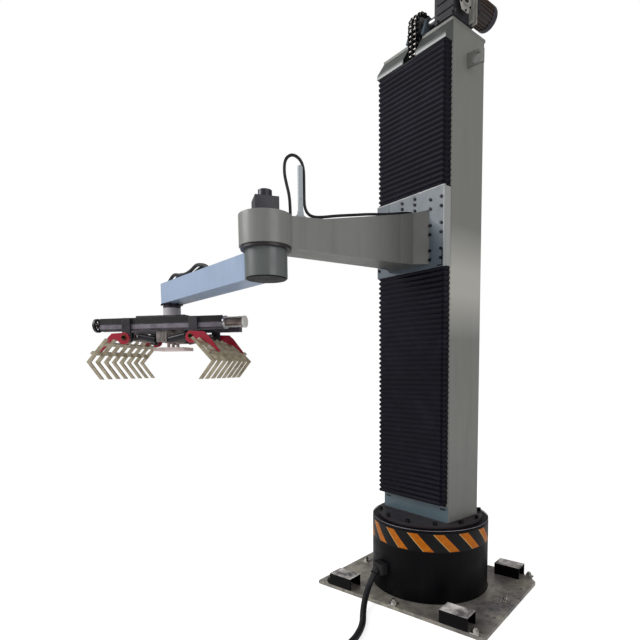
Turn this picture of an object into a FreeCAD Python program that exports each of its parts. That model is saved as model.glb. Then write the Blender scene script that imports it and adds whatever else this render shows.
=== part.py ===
import FreeCAD, Part
import math
import os
import re

import Sketcher

# Column palletizing robot with a two-jaw bag gripper, in millimetres.
# Row frame: origin on the floor under the base axis, +Z up, X along the ground plate's long side.
# The turret carries its own frame, turned about Z, in which the column's front looks along -Y.
# The forearm's frame starts on the elbow axis, the gripper's frame on the wrist axis.

SIZES = {
    # ground plate, its lifting channels and levelling bolts
    "plate_length": 1030.0,
    "plate_width": 840.0,
    "plate_thick": 20.0,
    "plate_shift_x": 10.0,
    "plate_shift_y": -18.0,
    "plate_corner_x": 60.0,
    "plate_corner_y": 70.0,
    "floor_hole_span_x": 956.0,
    "floor_hole_span_y": 408.0,
    "floor_hole_radius": 9.0,
    "leveller_inset_x": 53.0,
    "leveller_inset_y": 22.0,
    "leveller_radius": 10.0,
    "leveller_play": 1.0,
    "leveller_height": 30.0,
    "washer_side": 44.0,
    "washer_thick": 6.0,
    "nut_radius": 16.0,
    "nut_height": 15.0,
    "channel_length": 150.0,
    "channel_width": 100.0,
    "channel_height": 67.0,
    "channel_wall": 6.0,
    "channel_inset_x": 278.0,
    # drum, slewing ring and base drive
    "drum_radius": 338.0,
    "drum_wall": 10.0,
    "drum_top": 423.0,
    "drum_edge": 7.0,
    "drum_foot_inner": 270.0,
    "drum_foot_thick": 16.0,
    "drum_lid_inner": 215.0,
    "drum_lid_thick": 20.0,
    "shelf_height": 232.0,
    "shelf_thick": 16.0,
    "shelf_inner": 112.0,
    "slew_outer_radius": 285.0,
    "slew_race_radius": 232.0,
    "slew_ring_height": 50.0,
    "slew_play": 0.3,
    "turntable_radius": 302.0,
    "turntable_thick": 17.5,
    "turntable_lift": 0.5,
    "spigot_radius": 212.0,
    "spigot_bore": 150.0,
    "turntable_bolt_circle": 580.0,
    "turntable_bolt_count": 12.0,
    "turntable_bolt_radius": 12.0,
    "turntable_bolt_head": 18.0,
    "base_reducer_radius": 105.0,
    "base_reducer_flange": 148.0,
    "base_reducer_top": 352.0,
    "base_motor_side": 176.0,
    "base_motor_floor": 52.0,
    "gland_turn": -22.0,
    "gland_width": 84.0,
    "gland_depth": 40.0,
    "gland_low": 130.0,
    "gland_height": 60.0,
    "gland_collar_radius": 23.0,
    "gland_collar_length": 34.0,
    "coil_centre_x": 235.0,
    "coil_centre_y": -1090.0,
    "coil_mean_radius": 190.0,
    "coil_half_width": 34.0,
    "coil_thick": 70.0,
    "plug_length": 95.0,
    "plug_width": 45.0,
    "plug_height": 60.0,
    # column
    "turret_turn": -11.0,
    "column_width": 480.0,
    "column_depth": 278.0,
    "column_wall": 8.0,
    "column_corner": 7.0,
    "column_foot": 441.0,
    "column_top": 3041.0,
    "cap_thick": 16.0,
    "cap_overhang": 5.0,
    "cap_slot_half_width": 42.0,
    "proud": 59.0,
    "hood_top": 3032.7,
    "hood_brow": 2945.0,
    "hood_bottom": 2920.5,
    "hood_sheet": 4.0,
    "hood_bridge": 7.0,
    "lug_thick": 16.0,
    "lug_reach": 92.0,
    "lug_root_low": 2841.0,
    "lug_root_high": 2910.0,
    "lug_tip_low": 2829.0,
    "lug_tip_high": 2898.0,
    "lug_hole_radius": 24.0,
    "lug_hole_height": 2864.0,
    "lug_hole_reach": 55.0,
    "rail_half_gauge": 187.0,
    "rail_width": 28.0,
    "rail_height": 27.0,
    "rail_foot": 562.0,
    "rail_top": 2912.0,
    "bellows_wall": 10.0,
    "bellows_gap": 1.5,
    "bellows_pleat": 27.0,
    "bellows_foot_height": 555.0,
    "bellows_foot_thick": 6.0,
    # top drive
    "sprocket_axis_y": -96.0,
    "sprocket_axis_z": 3108.0,
    "sprocket_pitch_radius": 69.1,
    "sprocket_teeth": 17.0,
    "sprocket_tip": 8.0,
    "sprocket_row_half_gap": 14.65,
    "sprocket_row_thick": 14.0,
    "sprocket_hub_radius": 42.0,
    "sprocket_shaft_radius": 22.0,
    "chain_roller_radius": 7.94,
    "chain_plate_half": 12.0,
    "chain_half_width": 31.0,
    "chain_tooth_play": 0.35,
    "bearing_gap": 46.0,
    "bearing_plate_thick": 14.0,
    "bearing_radius": 40.0,
    "bearing_play": 0.05,
    "gearbox_inner_x": 130.0,
    "gearbox_outer_x": 250.0,
    "gearbox_front_y": -152.0,
    "gearbox_rear_y": 18.0,
    "gearbox_height": 214.0,
    "motor_side": 128.0,
    "motor_chamfer": 26.0,
    "motor_start_y": 46.0,
    "motor_end_y": 212.0,
    "motor_axis_x": 205.0,
    "motor_axis_z": 3190.0,
    "weight_top": 1650.0,
    "weight_height": 520.0,
    "weight_width": 360.0,
    "weight_depth": 190.0,
    # carriage
    "carriage_bottom": 1811.0,
    "carriage_top": 2218.0,
    "carriage_thick": 16.0,
    "carriage_half_width": 239.0,
    "block_width": 90.0,
    "block_length": 98.0,
    "block_height": 36.5,
    "block_play": 0.3,
    "block_top_z": 2137.0,
    "block_pitch": 129.5,
    "block_bolt_x": 70.0,
    "block_bolt_z": 47.0,
    "bolt_head_radius": 8.0,
    "bolt_head_height": 7.0,
    "anchor_half_width": 36.0,
    "anchor_bottom": 2122.0,
    "anchor_top": 2200.0,
    # upper arm
    "arm_reach": 1110.0,
    "arm_half_width": 80.0,
    "arm_root_half": 143.5,
    "arm_flare": 150.0,
    "arm_wall": 8.0,
    "arm_elbow_low": 1807.0,
    "arm_root_low": 1835.0,
    "arm_elbow_high": 1938.0,
    "arm_knee_high": 1958.0,
    "arm_root_high": 2112.0,
    "arm_knee_back": 260.0,
    "arm_level_back": 85.0,
    "elbow_radius": 115.0,
    "elbow_bore": 96.0,
    "elbow_roof": 14.0,
    "elbow_ring_radius": 109.0,
    "elbow_ring_height": 12.0,
    "elbow_output_radius": 60.0,
    "elbow_output_height": 70.0,
    "elbow_play": 0.3,
    "elbow_motor_side": 102.0,
    "elbow_motor_height": 72.0,
    "elbow_motor_turn": -22.0,
    "elbow_cap_radius": 30.0,
    "elbow_cap_height": 35.0,
    "post_x": 55.0,
    "post_reach": 146.0,
    "post_depth": 22.0,
    "post_thick": 10.0,
    "post_top": 2168.0,
    "post_foot_depth": 74.0,
    "post_flare_height": 46.0,
    # forearm
    "forearm_turn": 181.0,
    "forearm_length": 1025.0,
    "forearm_low": 1678.0,
    "forearm_high": 1793.0,
    "forearm_half_width": 59.0,
    "forearm_wall": 7.0,
    "forearm_hub_radius": 91.0,
    "forearm_hub_high": 1795.0,
    "hose_slot_back": 17.0,
    "hose_slot_front": 33.0,
    "hose_slot_half": 12.0,
    "hub_cover_thick": 5.0,
    "wrist_ring_radius": 50.0,
    "wrist_ring_height": 24.0,
    # gripper
    "gripper_turn": 39.0,
    "wrist_play": 0.3,
    "wrist_block_radius": 50.0,
    "wrist_block_low": 1600.0,
    "wrist_foot_radius": 72.0,
    "wrist_foot_height": 12.0,
    "frame_half_length": 381.0,
    "beam_offset": 118.0,
    "beam_thick": 40.0,
    "beam_low": 1516.0,
    "beam_high": 1585.0,
    "beam_groove": 6.0,
    "frame_plate_half": 150.0,
    "frame_plate_thick": 15.0,
    "claw_half_span": 207.0,
    "claw_axis_z": 1472.0,
    "claw_shaft_radius": 12.0,
    "claw_plate_thick": 10.0,
    "claw_hub_radius": 34.0,
    "bracket_thick": 14.0,
    "bracket_half_width": 26.0,
    "pivot_play": 0.05,
    "finger_count": 8.0,
    "finger_pitch": 72.8,
    "finger_thick": 12.0,
    "finger_bend_s": 388.0,
    "finger_bend_z": 1340.0,
    "finger_top_s": 264.0,
    "finger_top_z": 1468.0,
    "finger_tip_s": 308.0,
    "finger_tip_z": 1240.0,
    "finger_width": 25.0,
    "finger_tip_width": 22.0,
    "upper_rail_proud": -4.0,
    "upper_rail_sink": 16.0,
    "lower_rail_proud": 13.5,
    "lower_rail_sink": 3.0,
    "upper_rail_reach": 22.0,
    "upper_rail_width": 22.0,
    "lower_rail_reach": 108.0,
    "lower_rail_width": 18.0,
    "finger_round": 14.0,
    "lever_offset": 113.0,
    "lever_thick": 12.0,
    "lever_pin_back": 16.0,
    "lever_pin_rise": 22.0,
    "lever_radius": 20.0,
    "lever_pin_radius": 5.0,
    "lever_eye_radius": 10.0,
    "fork_side": 12.0,
    "fork_cheek": 8.0,
    "fork_gap": 1.5,
    "fork_back": 30.0,
    "cylinder_radius": 20.0,
    "cylinder_length": 104.0,
    "cylinder_back": 22.0,
    "cylinder_rear_s": 22.0,
    "cylinder_rear_z": 1460.0,
    "rod_radius": 8.0,
    "rod_play": 0.05,
    "rod_sink": 90.0,
    "rod_eye_radius": 12.5,
    "rod_eye_play": 3.6,
    "post_half_s": 52.0,
    "post_half_t": 40.0,
    "post_low": 1452.0,
    "press_rod_radius": 9.0,
    "press_rod_span": 30.0,
    "press_rod_sink": 60.0,
    "press_plate_half_s": 97.0,
    "press_plate_half_t": 60.0,
    "press_plate_low": 1403.0,
    "press_plate_thick": 20.0,
    "spindle_rise": 1.5,
    "handwheel_s": -412.0,
    "handwheel_radius": 40.0,
    "handwheel_rim": 7.0,
    "handwheel_shaft": 9.0,
    "adjuster_radius": 31.0,
    "adjuster_start": 393.0,
    "adjuster_end": 506.0,
}

FOREARM_HOSE_DIAMETER = 18.0
FOREARM_HOSE_ROUTES = [
    [(448, 44, 1787), (478, 45, 1806), (528, 46, 1819), (590, 44, 1828), (652, 41, 1812),
     (702, 43, 1802.5), (762, 45, 1802.5), (812, 46, 1810), (868, 44, 1822), (924, 41, 1810),
     (958, 42, 1787)],
    [(486, 16, 1787), (516, 17, 1806), (566, 20, 1818), (626, 19, 1810), (676, 15, 1802.5),
     (740, 17, 1802.5), (790, 19, 1810), (842, 20, 1822), (900, 18, 1808), (934, 16, 1787)]]

# The claw plates lie against the third finger from each end of a row.
CLAW_PLATE = "(2.5 * finger_pitch - finger_thick / 2 - claw_plate_thick / 2)"
BRACKET = "(beam_offset + beam_thick / 2 + bracket_thick / 2)"
ARM_TOP_SLOPE = "(arm_knee_high - arm_elbow_high) / (arm_knee_back - arm_level_back)"
doc = FreeCAD.newDocument("ColumnRobot")
sheet = doc.addObject("Spreadsheet::Sheet", "Sizes")
for row, (alias, size) in enumerate(SIZES.items(), start=1):
    sheet.set("A%d" % row, alias)
    sheet.set("B%d" % row, repr(size))
    sheet.setAlias("B%d" % row, alias)
doc.recompute()
NODES = []


def bound(text):
    """Write a size rule as an expression on the sheet."""
    named = lambda word: "Sizes." + word.group(0) if word.group(0) in SIZES else word.group(0)
    return re.sub(r"[a-z][a-z0-9_]*", named, str(text))


def number(text):
    """Give the present value of a size rule."""
    value = sheet.evalExpression(bound(text))
    return float(getattr(value, "Value", value))


def frame_placement(frame):
    """Give where a frame stands in the row frame."""
    up = FreeCAD.Vector(0, 0, 1)
    turret = FreeCAD.Placement(FreeCAD.Vector(), FreeCAD.Rotation(up, SIZES["turret_turn"]))
    if frame == "base":
        return FreeCAD.Placement()
    if frame == "turret":
        return turret
    elbow = FreeCAD.Placement(FreeCAD.Vector(0, -SIZES["arm_reach"], 0),
                              FreeCAD.Rotation(up, SIZES["forearm_turn"]))
    if frame == "forearm":
        return turret * elbow
    wrist_turn = SIZES["gripper_turn"] - SIZES["forearm_turn"]
    wrist = FreeCAD.Placement(FreeCAD.Vector(SIZES["forearm_length"], 0, 0),
                              FreeCAD.Rotation(up, wrist_turn))
    return turret * elbow * wrist


def node(item, label, frame):
    """Name a finished sub-part and set it in its frame."""
    if item.isDerivedFrom("Part::Primitive"):
        item = group(item)
    item.Label = label
    item.Placement = frame_placement(frame).multiply(item.Placement)
    NODES.append(item)
    return item


def box(size, corner):
    item = doc.addObject("Part::Box", "Block")
    for name, rule in zip(("Length", "Width", "Height"), size):
        item.setExpression(name, bound(rule))
    for name, rule in zip("xyz", corner):
        item.setExpression("Placement.Base." + name, bound(rule))
    return item


def cylinder(radius, height, centre, along="Z"):
    item = doc.addObject("Part::Cylinder", "Round")
    item.setExpression("Radius", bound(radius))
    item.setExpression("Height", bound(height))
    turns = {"X": FreeCAD.Rotation(FreeCAD.Vector(0, 1, 0), 90),
             "Y": FreeCAD.Rotation(FreeCAD.Vector(1, 0, 0), -90),
             "Z": FreeCAD.Rotation()}
    item.Placement = FreeCAD.Placement(FreeCAD.Vector(), turns[along])
    for name, rule in zip("xyz", centre):
        item.setExpression("Placement.Base." + name, bound(rule))
    return item


def prism(sides, radius, height, centre):
    item = doc.addObject("Part::Prism", "Prism")
    item.Polygon = sides
    item.setExpression("Circumradius", bound(radius))
    item.setExpression("Height", bound(height))
    for name, rule in zip("xyz", centre):
        item.setExpression("Placement.Base." + name, bound(rule))
    return item


def cut(base, *tools):
    for tool in tools:
        item = doc.addObject("Part::Cut", "Cut")
        item.Base = base
        item.Tool = tool
        base = item
    return base


def fuse(*items):
    item = doc.addObject("Part::MultiFuse", "Fuse")
    item.Shapes = list(items)
    return item


def group(*items):
    item = doc.addObject("Part::Compound", "Group")
    item.Links = list(items)
    return item


def new_body():
    return doc.addObject("PartDesign::Body", "Body")


def sketch_on(body, plane, level):
    """Open a sketch on one of the body's own origin planes, moved along its normal."""
    sketch = body.newObject("Sketcher::SketchObject", "Sketch")
    role = plane + "_Plane"
    support = [item for item in body.Origin.OriginFeatures if item.Role == role][0]
    sketch.AttachmentSupport = (support, [""])
    sketch.MapMode = "FlatFace"
    sketch.setExpression("AttachmentOffset.Base.z", bound(level))
    return sketch


def pin_point(sketch, line, end, spot):
    """Tie an end or centre to the sketch origin by two bound distances."""
    for kind, rule in zip(("DistanceX", "DistanceY"), spot):
        index = sketch.addConstraint(Sketcher.Constraint(kind, -1, 1, line, end, number(rule)))
        sketch.setExpression("Constraints[%d]" % index, bound(rule))


def draw_polygon(sketch, points):
    spots = [FreeCAD.Vector(number(x), number(y), 0) for x, y in points]
    lines = []
    for start, end in zip(spots, spots[1:] + spots[:1]):
        lines.append(sketch.addGeometry(Part.LineSegment(start, end), False))
    for line, following in zip(lines, lines[1:] + lines[:1]):
        sketch.addConstraint(Sketcher.Constraint("Coincident", line, 2, following, 1))
    for line, spot in zip(lines, points):
        pin_point(sketch, line, 1, spot)


def draw_circle(sketch, centre, radius):
    spot = FreeCAD.Vector(number(centre[0]), number(centre[1]), 0)
    ring = sketch.addGeometry(Part.Circle(spot, FreeCAD.Vector(0, 0, 1), number(radius)), False)
    index = sketch.addConstraint(Sketcher.Constraint("Radius", ring, number(radius)))
    sketch.setExpression("Constraints[%d]" % index, bound(radius))
    pin_point(sketch, ring, 3, centre)


def draw(sketch, outlines):
    """Draw outlines: a list of points is a polygon, a centre and radius pair is a circle."""
    for outline in outlines:
        if isinstance(outline, tuple):
            draw_circle(sketch, outline[0], outline[1])
        else:
            draw_polygon(sketch, outline)


def pad(body, plane, level, height, *outlines):
    """Add a prism that grows along the plane's normal (XY: +Z, XZ: -Y, YZ: +X)."""
    sketch = sketch_on(body, plane, level)
    draw(sketch, outlines)
    item = body.newObject("PartDesign::Pad", "Pad")
    item.Profile = sketch
    item.setExpression("Length", bound(height))
    body.Tip = item
    return item


def pocket(body, plane, level, height, *outlines):
    """Cut a prism that grows along the plane's normal."""
    doc.recompute()
    before = body.Shape.Volume
    sketch = sketch_on(body, plane, level)
    draw(sketch, outlines)
    item = body.newObject("PartDesign::Pocket", "Pocket")
    item.Profile = sketch
    item.Reversed = True
    item.setExpression("Length", bound(height))
    body.Tip = item
    doc.recompute()
    if body.Shape.Volume > before - 1.0:
        raise RuntimeError("a pocket in %s cut nothing" % body.Name)
    return item


def revolve(body, outline):
    """Turn a half section, drawn in the XZ plane, about Z."""
    sketch = sketch_on(body, "XZ", 0)
    draw(sketch, [outline])
    item = body.newObject("PartDesign::Revolution", "Turned")
    item.Profile = sketch
    item.ReferenceAxis = (sketch, ["V_Axis"])
    item.Angle = 360
    body.Tip = item
    return item


def rectangle(x_low, y_low, x_high, y_high):
    return [(x_low, y_low), (x_high, y_low), (x_high, y_high), (x_low, y_high)]


def around(feature, body, axis, count):
    """Repeat a feature about one of the body's axes."""
    pattern = body.newObject("PartDesign::PolarPattern", "Ring")
    pattern.Originals = [feature]
    support = [item for item in body.Origin.OriginFeatures if item.Role == axis + "_Axis"][0]
    pattern.Axis = (support, [""])
    pattern.Angle = 360
    pattern.Occurrences = int(number(count))
    body.Tip = pattern
    return pattern


def mirror_pair(item, normal):
    """Group a piece with its mirror image in the frame's own mid plane."""
    twin = doc.addObject("Part::Mirroring", "Twin")
    twin.Source = item
    twin.Base = FreeCAD.Vector()
    twin.Normal = FreeCAD.Vector(*normal)
    return group(item, twin)


def round_path(points):
    """Join straight runs by tangent arcs, and give the wire and the arc radii."""
    spots = [FreeCAD.Vector(*point) for point in points]
    edges = []
    radii = []
    start = spots[0]
    for before, corner, after in zip(spots, spots[1:], spots[2:]):
        back = (before - corner).normalize()
        ahead = (after - corner).normalize()
        half_turn = (math.pi - back.getAngle(ahead)) / 2
        shorter = min((before - corner).Length, (after - corner).Length)
        setback = 0.45 * shorter
        radius = setback / math.tan(half_turn)
        first = corner + back * setback
        last = corner + ahead * setback
        bisector = (back + ahead).normalize()
        middle = corner + bisector * (radius / math.cos(half_turn) - radius)
        edges.append(Part.LineSegment(start, first).toShape())
        edges.append(Part.Arc(first, middle, last).toShape())
        radii.append(radius)
        start = last
    edges.append(Part.LineSegment(start, spots[-1]).toShape())
    return Part.Wire(edges), radii


def tube_along(points, diameter, label):
    """Sweep a round cord along its route."""
    wire, radii = round_path(points)
    direction = (FreeCAD.Vector(*points[1]) - FreeCAD.Vector(*points[0])).normalize()
    ring = Part.Circle(FreeCAD.Vector(*points[0]), direction, diameter / 2)
    tube = wire.makePipeShell([Part.Wire(ring.toShape())], True, True)
    expected = math.pi * diameter ** 2 / 4 * wire.Length
    print("%s length %.0f, smallest radius %.0f, volume ratio %.4f"
          % (label, wire.Length, min(radii), tube.Volume / expected))
    item = doc.addObject("Part::Feature", "Cord")
    item.Shape = tube
    return item


def cord(label, frame, points, diameter):
    return node(tube_along(points, diameter, label), label, frame)


# Ground plate and what stands on it

def ground_plate():
    body = new_body()
    left = "plate_shift_x - plate_length / 2"
    right = "plate_shift_x + plate_length / 2"
    front = "plate_shift_y - plate_width / 2"
    back = "plate_shift_y + plate_width / 2"
    outline = [(left, front), (right, front), (right, back + " - plate_corner_y"),
               (right + " - plate_corner_x", back), (left + " + plate_corner_x", back),
               (left, back + " - plate_corner_y")]
    pad(body, "XY", 0, "plate_thick", outline)
    holes = []
    for side in (-1, 1):
        for end in (-1, 1):
            spot = ("plate_shift_x + %d * floor_hole_span_x / 2" % side,
                    "plate_shift_y + %d * floor_hole_span_y / 2" % end)
            holes.append((spot, "floor_hole_radius"))
    for spot in leveller_spots():
        holes.append((spot, "leveller_radius + leveller_play"))
    pocket(body, "XY", -1, "plate_thick + 2", *holes)
    node(body, "ground_plate", "base")


def leveller_spots():
    spots = []
    for across in (-1, 0, 1):
        for along in (-1, 0, 1):
            if across or along:
                spots.append(("plate_shift_x + %d * (plate_length / 2 - leveller_inset_x)" % across,
                              "plate_shift_y + %d * (plate_width / 2 - leveller_inset_y)" % along))
    return spots


def floor_bolts():
    bolts = []
    for x, y in leveller_spots():
        washer = box(("washer_side", "washer_side", "washer_thick"),
                     (x + " - washer_side / 2", y + " - washer_side / 2", "plate_thick"))
        nut = prism(6, "nut_radius", "nut_height", (x, y, "plate_thick + washer_thick"))
        stud = cylinder("leveller_radius", "plate_thick + leveller_height", (x, y, 0))
        bolts.append(fuse(washer, nut, stud))
    node(group(*bolts), "floor_bolts", "base")


def fork_channels():
    channels = []
    for across in (-1, 1):
        for along in (-1, 1):
            start_x = "plate_shift_x + channel_inset_x"
            if across < 0:
                start_x = "plate_shift_x - channel_inset_x - channel_length"
            start_y = "plate_shift_y - plate_width / 2"
            if along > 0:
                start_y = "plate_shift_y + plate_width / 2 - channel_width"
            whole = box(("channel_length", "channel_width", "channel_height"),
                        (start_x, start_y, "plate_thick"))
            inside = box(("channel_length + 2", "channel_width - 2 * channel_wall",
                          "channel_height - channel_wall + 1"),
                         (start_x + " - 1", start_y + " + channel_wall", "plate_thick - 1"))
            channels.append(cut(whole, inside))
    node(group(*channels), "fork_channels", "base")


# Drum, slewing ring and base drive

def base_drum():
    body = new_body()
    inner = "drum_radius - drum_wall"
    revolve(body, [
        ("drum_foot_inner", "plate_thick"), ("drum_radius", "plate_thick"),
        ("drum_radius", "drum_top - drum_edge"), ("drum_radius - drum_edge", "drum_top"),
        ("drum_lid_inner", "drum_top"), ("drum_lid_inner", "drum_top - drum_lid_thick"),
        (inner, "drum_top - drum_lid_thick"), (inner, "shelf_height + shelf_thick"),
        ("shelf_inner", "shelf_height + shelf_thick"), ("shelf_inner", "shelf_height"),
        (inner, "shelf_height"), (inner, "plate_thick + drum_foot_thick"),
        ("drum_foot_inner", "plate_thick + drum_foot_thick")])
    node(body, "base_drum", "base")


def slewing_ring():
    body = new_body()
    top = "drum_top - drum_lid_thick"
    revolve(body, rectangle("slew_race_radius", top + " - slew_ring_height",
                            "slew_outer_radius", top))
    node(body, "slewing_outer_ring", "base")


def base_drive():
    body = new_body()
    seat = "shelf_height + shelf_thick"
    revolve(body, [
        (0, "shelf_height - 60"), ("base_reducer_radius", "shelf_height - 60"),
        ("base_reducer_radius", seat), ("base_reducer_flange", seat),
        ("base_reducer_flange", seat + " + 18"), ("base_reducer_radius", seat + " + 18"),
        ("base_reducer_radius", "base_reducer_top"), (0, "base_reducer_top")])
    motor = new_body()
    half = "base_motor_side / 2"
    pad(motor, "XY", "base_motor_floor", "shelf_height - 60 - base_motor_floor",
        rectangle("-" + half, "-" + half, half, half))
    node(group(body, motor), "base_drive", "base")


def turntable():
    body = new_body()
    low = "drum_top + turntable_lift"
    top = low + " + turntable_thick"
    race_low = "drum_top - drum_lid_thick - slew_ring_height"
    revolve(body, [
        ("spigot_bore", race_low), ("slew_race_radius - slew_play", race_low),
        ("slew_race_radius - slew_play", "drum_top - drum_lid_thick - 2"),
        ("spigot_radius", "drum_top - drum_lid_thick - 2"), ("spigot_radius", low),
        ("turntable_radius", low), ("turntable_radius", top), (0, top),
        (0, "base_reducer_top"), ("spigot_bore", "base_reducer_top")])
    node(body, "turntable", "turret")


def turntable_bolts():
    bolts = []
    count = int(SIZES["turntable_bolt_count"])
    for index in range(count):
        angle = "%r * 360 / turntable_bolt_count" % (index + 0.5)
        spot = ("turntable_bolt_circle / 2 * cos(%s)" % angle,
                "turntable_bolt_circle / 2 * sin(%s)" % angle,
                "drum_top + turntable_lift + turntable_thick")
        bolts.append(prism(12, "turntable_bolt_radius", "turntable_bolt_head", spot))
    node(group(*bolts), "turntable_bolts", "turret")


# Column and its covers

def column_shell():
    body = new_body()
    half_x = "column_width / 2"
    half_y = "column_depth / 2"
    corner = "column_corner"
    outline = [
        ("-%s + %s" % (half_x, corner), "-" + half_y), ("%s - %s" % (half_x, corner), "-" + half_y),
        (half_x, "-%s + %s" % (half_y, corner)), (half_x, "%s - %s" % (half_y, corner)),
        ("%s - %s" % (half_x, corner), half_y), ("-%s + %s" % (half_x, corner), half_y),
        ("-" + half_x, "%s - %s" % (half_y, corner)), ("-" + half_x, "-%s + %s" % (half_y, corner))]
    inner_x = "(column_width / 2 - column_wall)"
    inner_y = "(column_depth / 2 - column_wall)"
    inside = rectangle("-" + inner_x, "-" + inner_y, inner_x, inner_y)
    pad(body, "XY", "column_foot", "column_top - cap_thick - column_foot", outline, inside)
    node(body, "column_shell", "turret")


def top_plate():
    body = new_body()
    half_x = "column_width / 2"
    edge = "(column_depth / 2 + cap_overhang)"
    pad(body, "XY", "column_top - cap_thick", "cap_thick",
        rectangle("-" + half_x, "-" + edge, half_x, edge))
    pocket(body, "XY", "column_top - cap_thick - 1", "cap_thick + 2",
           rectangle("-cap_slot_half_width", "-%s - 1" % edge, "cap_slot_half_width",
                     "sprocket_axis_y + sprocket_pitch_radius + chain_plate_half + 14"))
    node(body, "top_plate", "turret")


def upper_hood():
    body = new_body()
    front = "-column_depth / 2"
    nose = "-column_depth / 2 - proud"
    half_x = "(column_width / 2 - 1)"
    low = "hood_bottom"
    pad(body, "YZ", "-" + half_x, "2 * " + half_x,
        [(front, low), (nose, low), (nose, "hood_brow"),
         (front + " - cap_overhang - 1", "hood_top - 8"), (front, "hood_top - 8")])
    sheet_in = "hood_sheet"
    pocket(body, "YZ", "-%s + %s" % (half_x, sheet_in), "2 * (%s - %s)" % (half_x, sheet_in),
           [(front + " + 1", low + " - 1"), (nose + " + " + sheet_in, low + " - 1"),
            (nose + " + " + sheet_in, "hood_brow - 1"),
            (front + " - hood_bridge", "hood_top - 10 - 2 * hood_sheet"),
            (front + " + 1", "hood_top - 10 - 2 * hood_sheet")])
    pocket(body, "XY", low + " - 1", "hood_top - hood_bottom + 2",
           rectangle("-cap_slot_half_width", nose + " - 1", "cap_slot_half_width",
                     front + " - hood_bridge - cap_overhang"))
    node(body, "upper_hood", "turret")


def bellows_foot():
    front = "-column_depth / 2"
    shelf = box(("2 * (column_width / 2 - bellows_wall - 4)", "proud - 2", "bellows_foot_thick"),
                ("-(column_width / 2 - bellows_wall - 4)", front + " - proud + 2",
                 "bellows_foot_height - bellows_foot_thick"))
    feet = []
    for side in (-1, 1):
        start = "%d * 205 - 20" % side
        feet.append(box((40, 5, 16), (start, front + " - 5",
                                      "bellows_foot_height - bellows_foot_thick - 16")))
    node(fuse(shelf, *feet), "bellows_foot", "turret")


def lifting_lugs():
    body = new_body()
    root = "column_width / 2"
    tip = "column_width / 2 + lug_reach"
    pad(body, "XZ", "11 - lug_thick / 2", "lug_thick",
        [(root, "lug_root_low"), (tip, "lug_tip_low"), (tip, "lug_tip_high"),
         (root, "lug_root_high")],
        ((root + " + lug_hole_reach", "lug_hole_height"), "lug_hole_radius"))
    node(mirror_pair(body, (1, 0, 0)), "lifting_lugs", "turret")


def linear_rails():
    body = new_body()
    front = "-column_depth / 2"
    half = "rail_width / 2"
    centre = "rail_half_gauge"
    pad(body, "XY", "rail_foot", "rail_top - rail_foot",
        [("%s - %s" % (centre, half), front), ("%s - %s" % (centre, half), front + " - 8"),
         ("%s - %s + 3" % (centre, half), front + " - 13"),
         ("%s - %s" % (centre, half), front + " - 18"),
         ("%s - %s" % (centre, half), front + " - rail_height"),
         ("%s + %s" % (centre, half), front + " - rail_height"),
         ("%s + %s" % (centre, half), front + " - 18"),
         ("%s + %s - 3" % (centre, half), front + " - 13"),
         ("%s + %s" % (centre, half), front + " - 8"), ("%s + %s" % (centre, half), front)])
    node(mirror_pair(body, (1, 0, 0)), "linear_rails", "turret")


def bellows(label, low, high):
    """A pleated front with two plain side returns, open towards the column."""
    body = new_body()
    front = "-column_depth / 2 - proud"
    back = "-column_depth / 2 - bellows_gap"
    outer = "(column_width / 2 - 1)"
    inner = "(column_width / 2 - 1 - bellows_wall)"
    pleats = int(round((number(high) - number(low)) / SIZES["bellows_pleat"]))
    outline = []
    for index in range(pleats):
        level = "%s + (%s - %s) * %r" % (low, high, low, index / pleats)
        fold = "%s + (%s - %s) * %r" % (low, high, low, (index + 0.5) / pleats)
        outline.append((front + " + 5", level))
        outline.append((front, fold))
    outline.append((front + " + 5", high))
    outline += [(front + " + bellows_wall", high), (front + " + bellows_wall", low)]
    pad(body, "YZ", "-" + outer, "2 * " + outer, outline)
    for side in (-1, 1):
        start = "-" + outer if side < 0 else inner
        pad(body, "YZ", start, "bellows_wall",
            rectangle(front + " + 5", low, back, high))
    node(body, label, "turret")


# Lift drive on the cap

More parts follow.
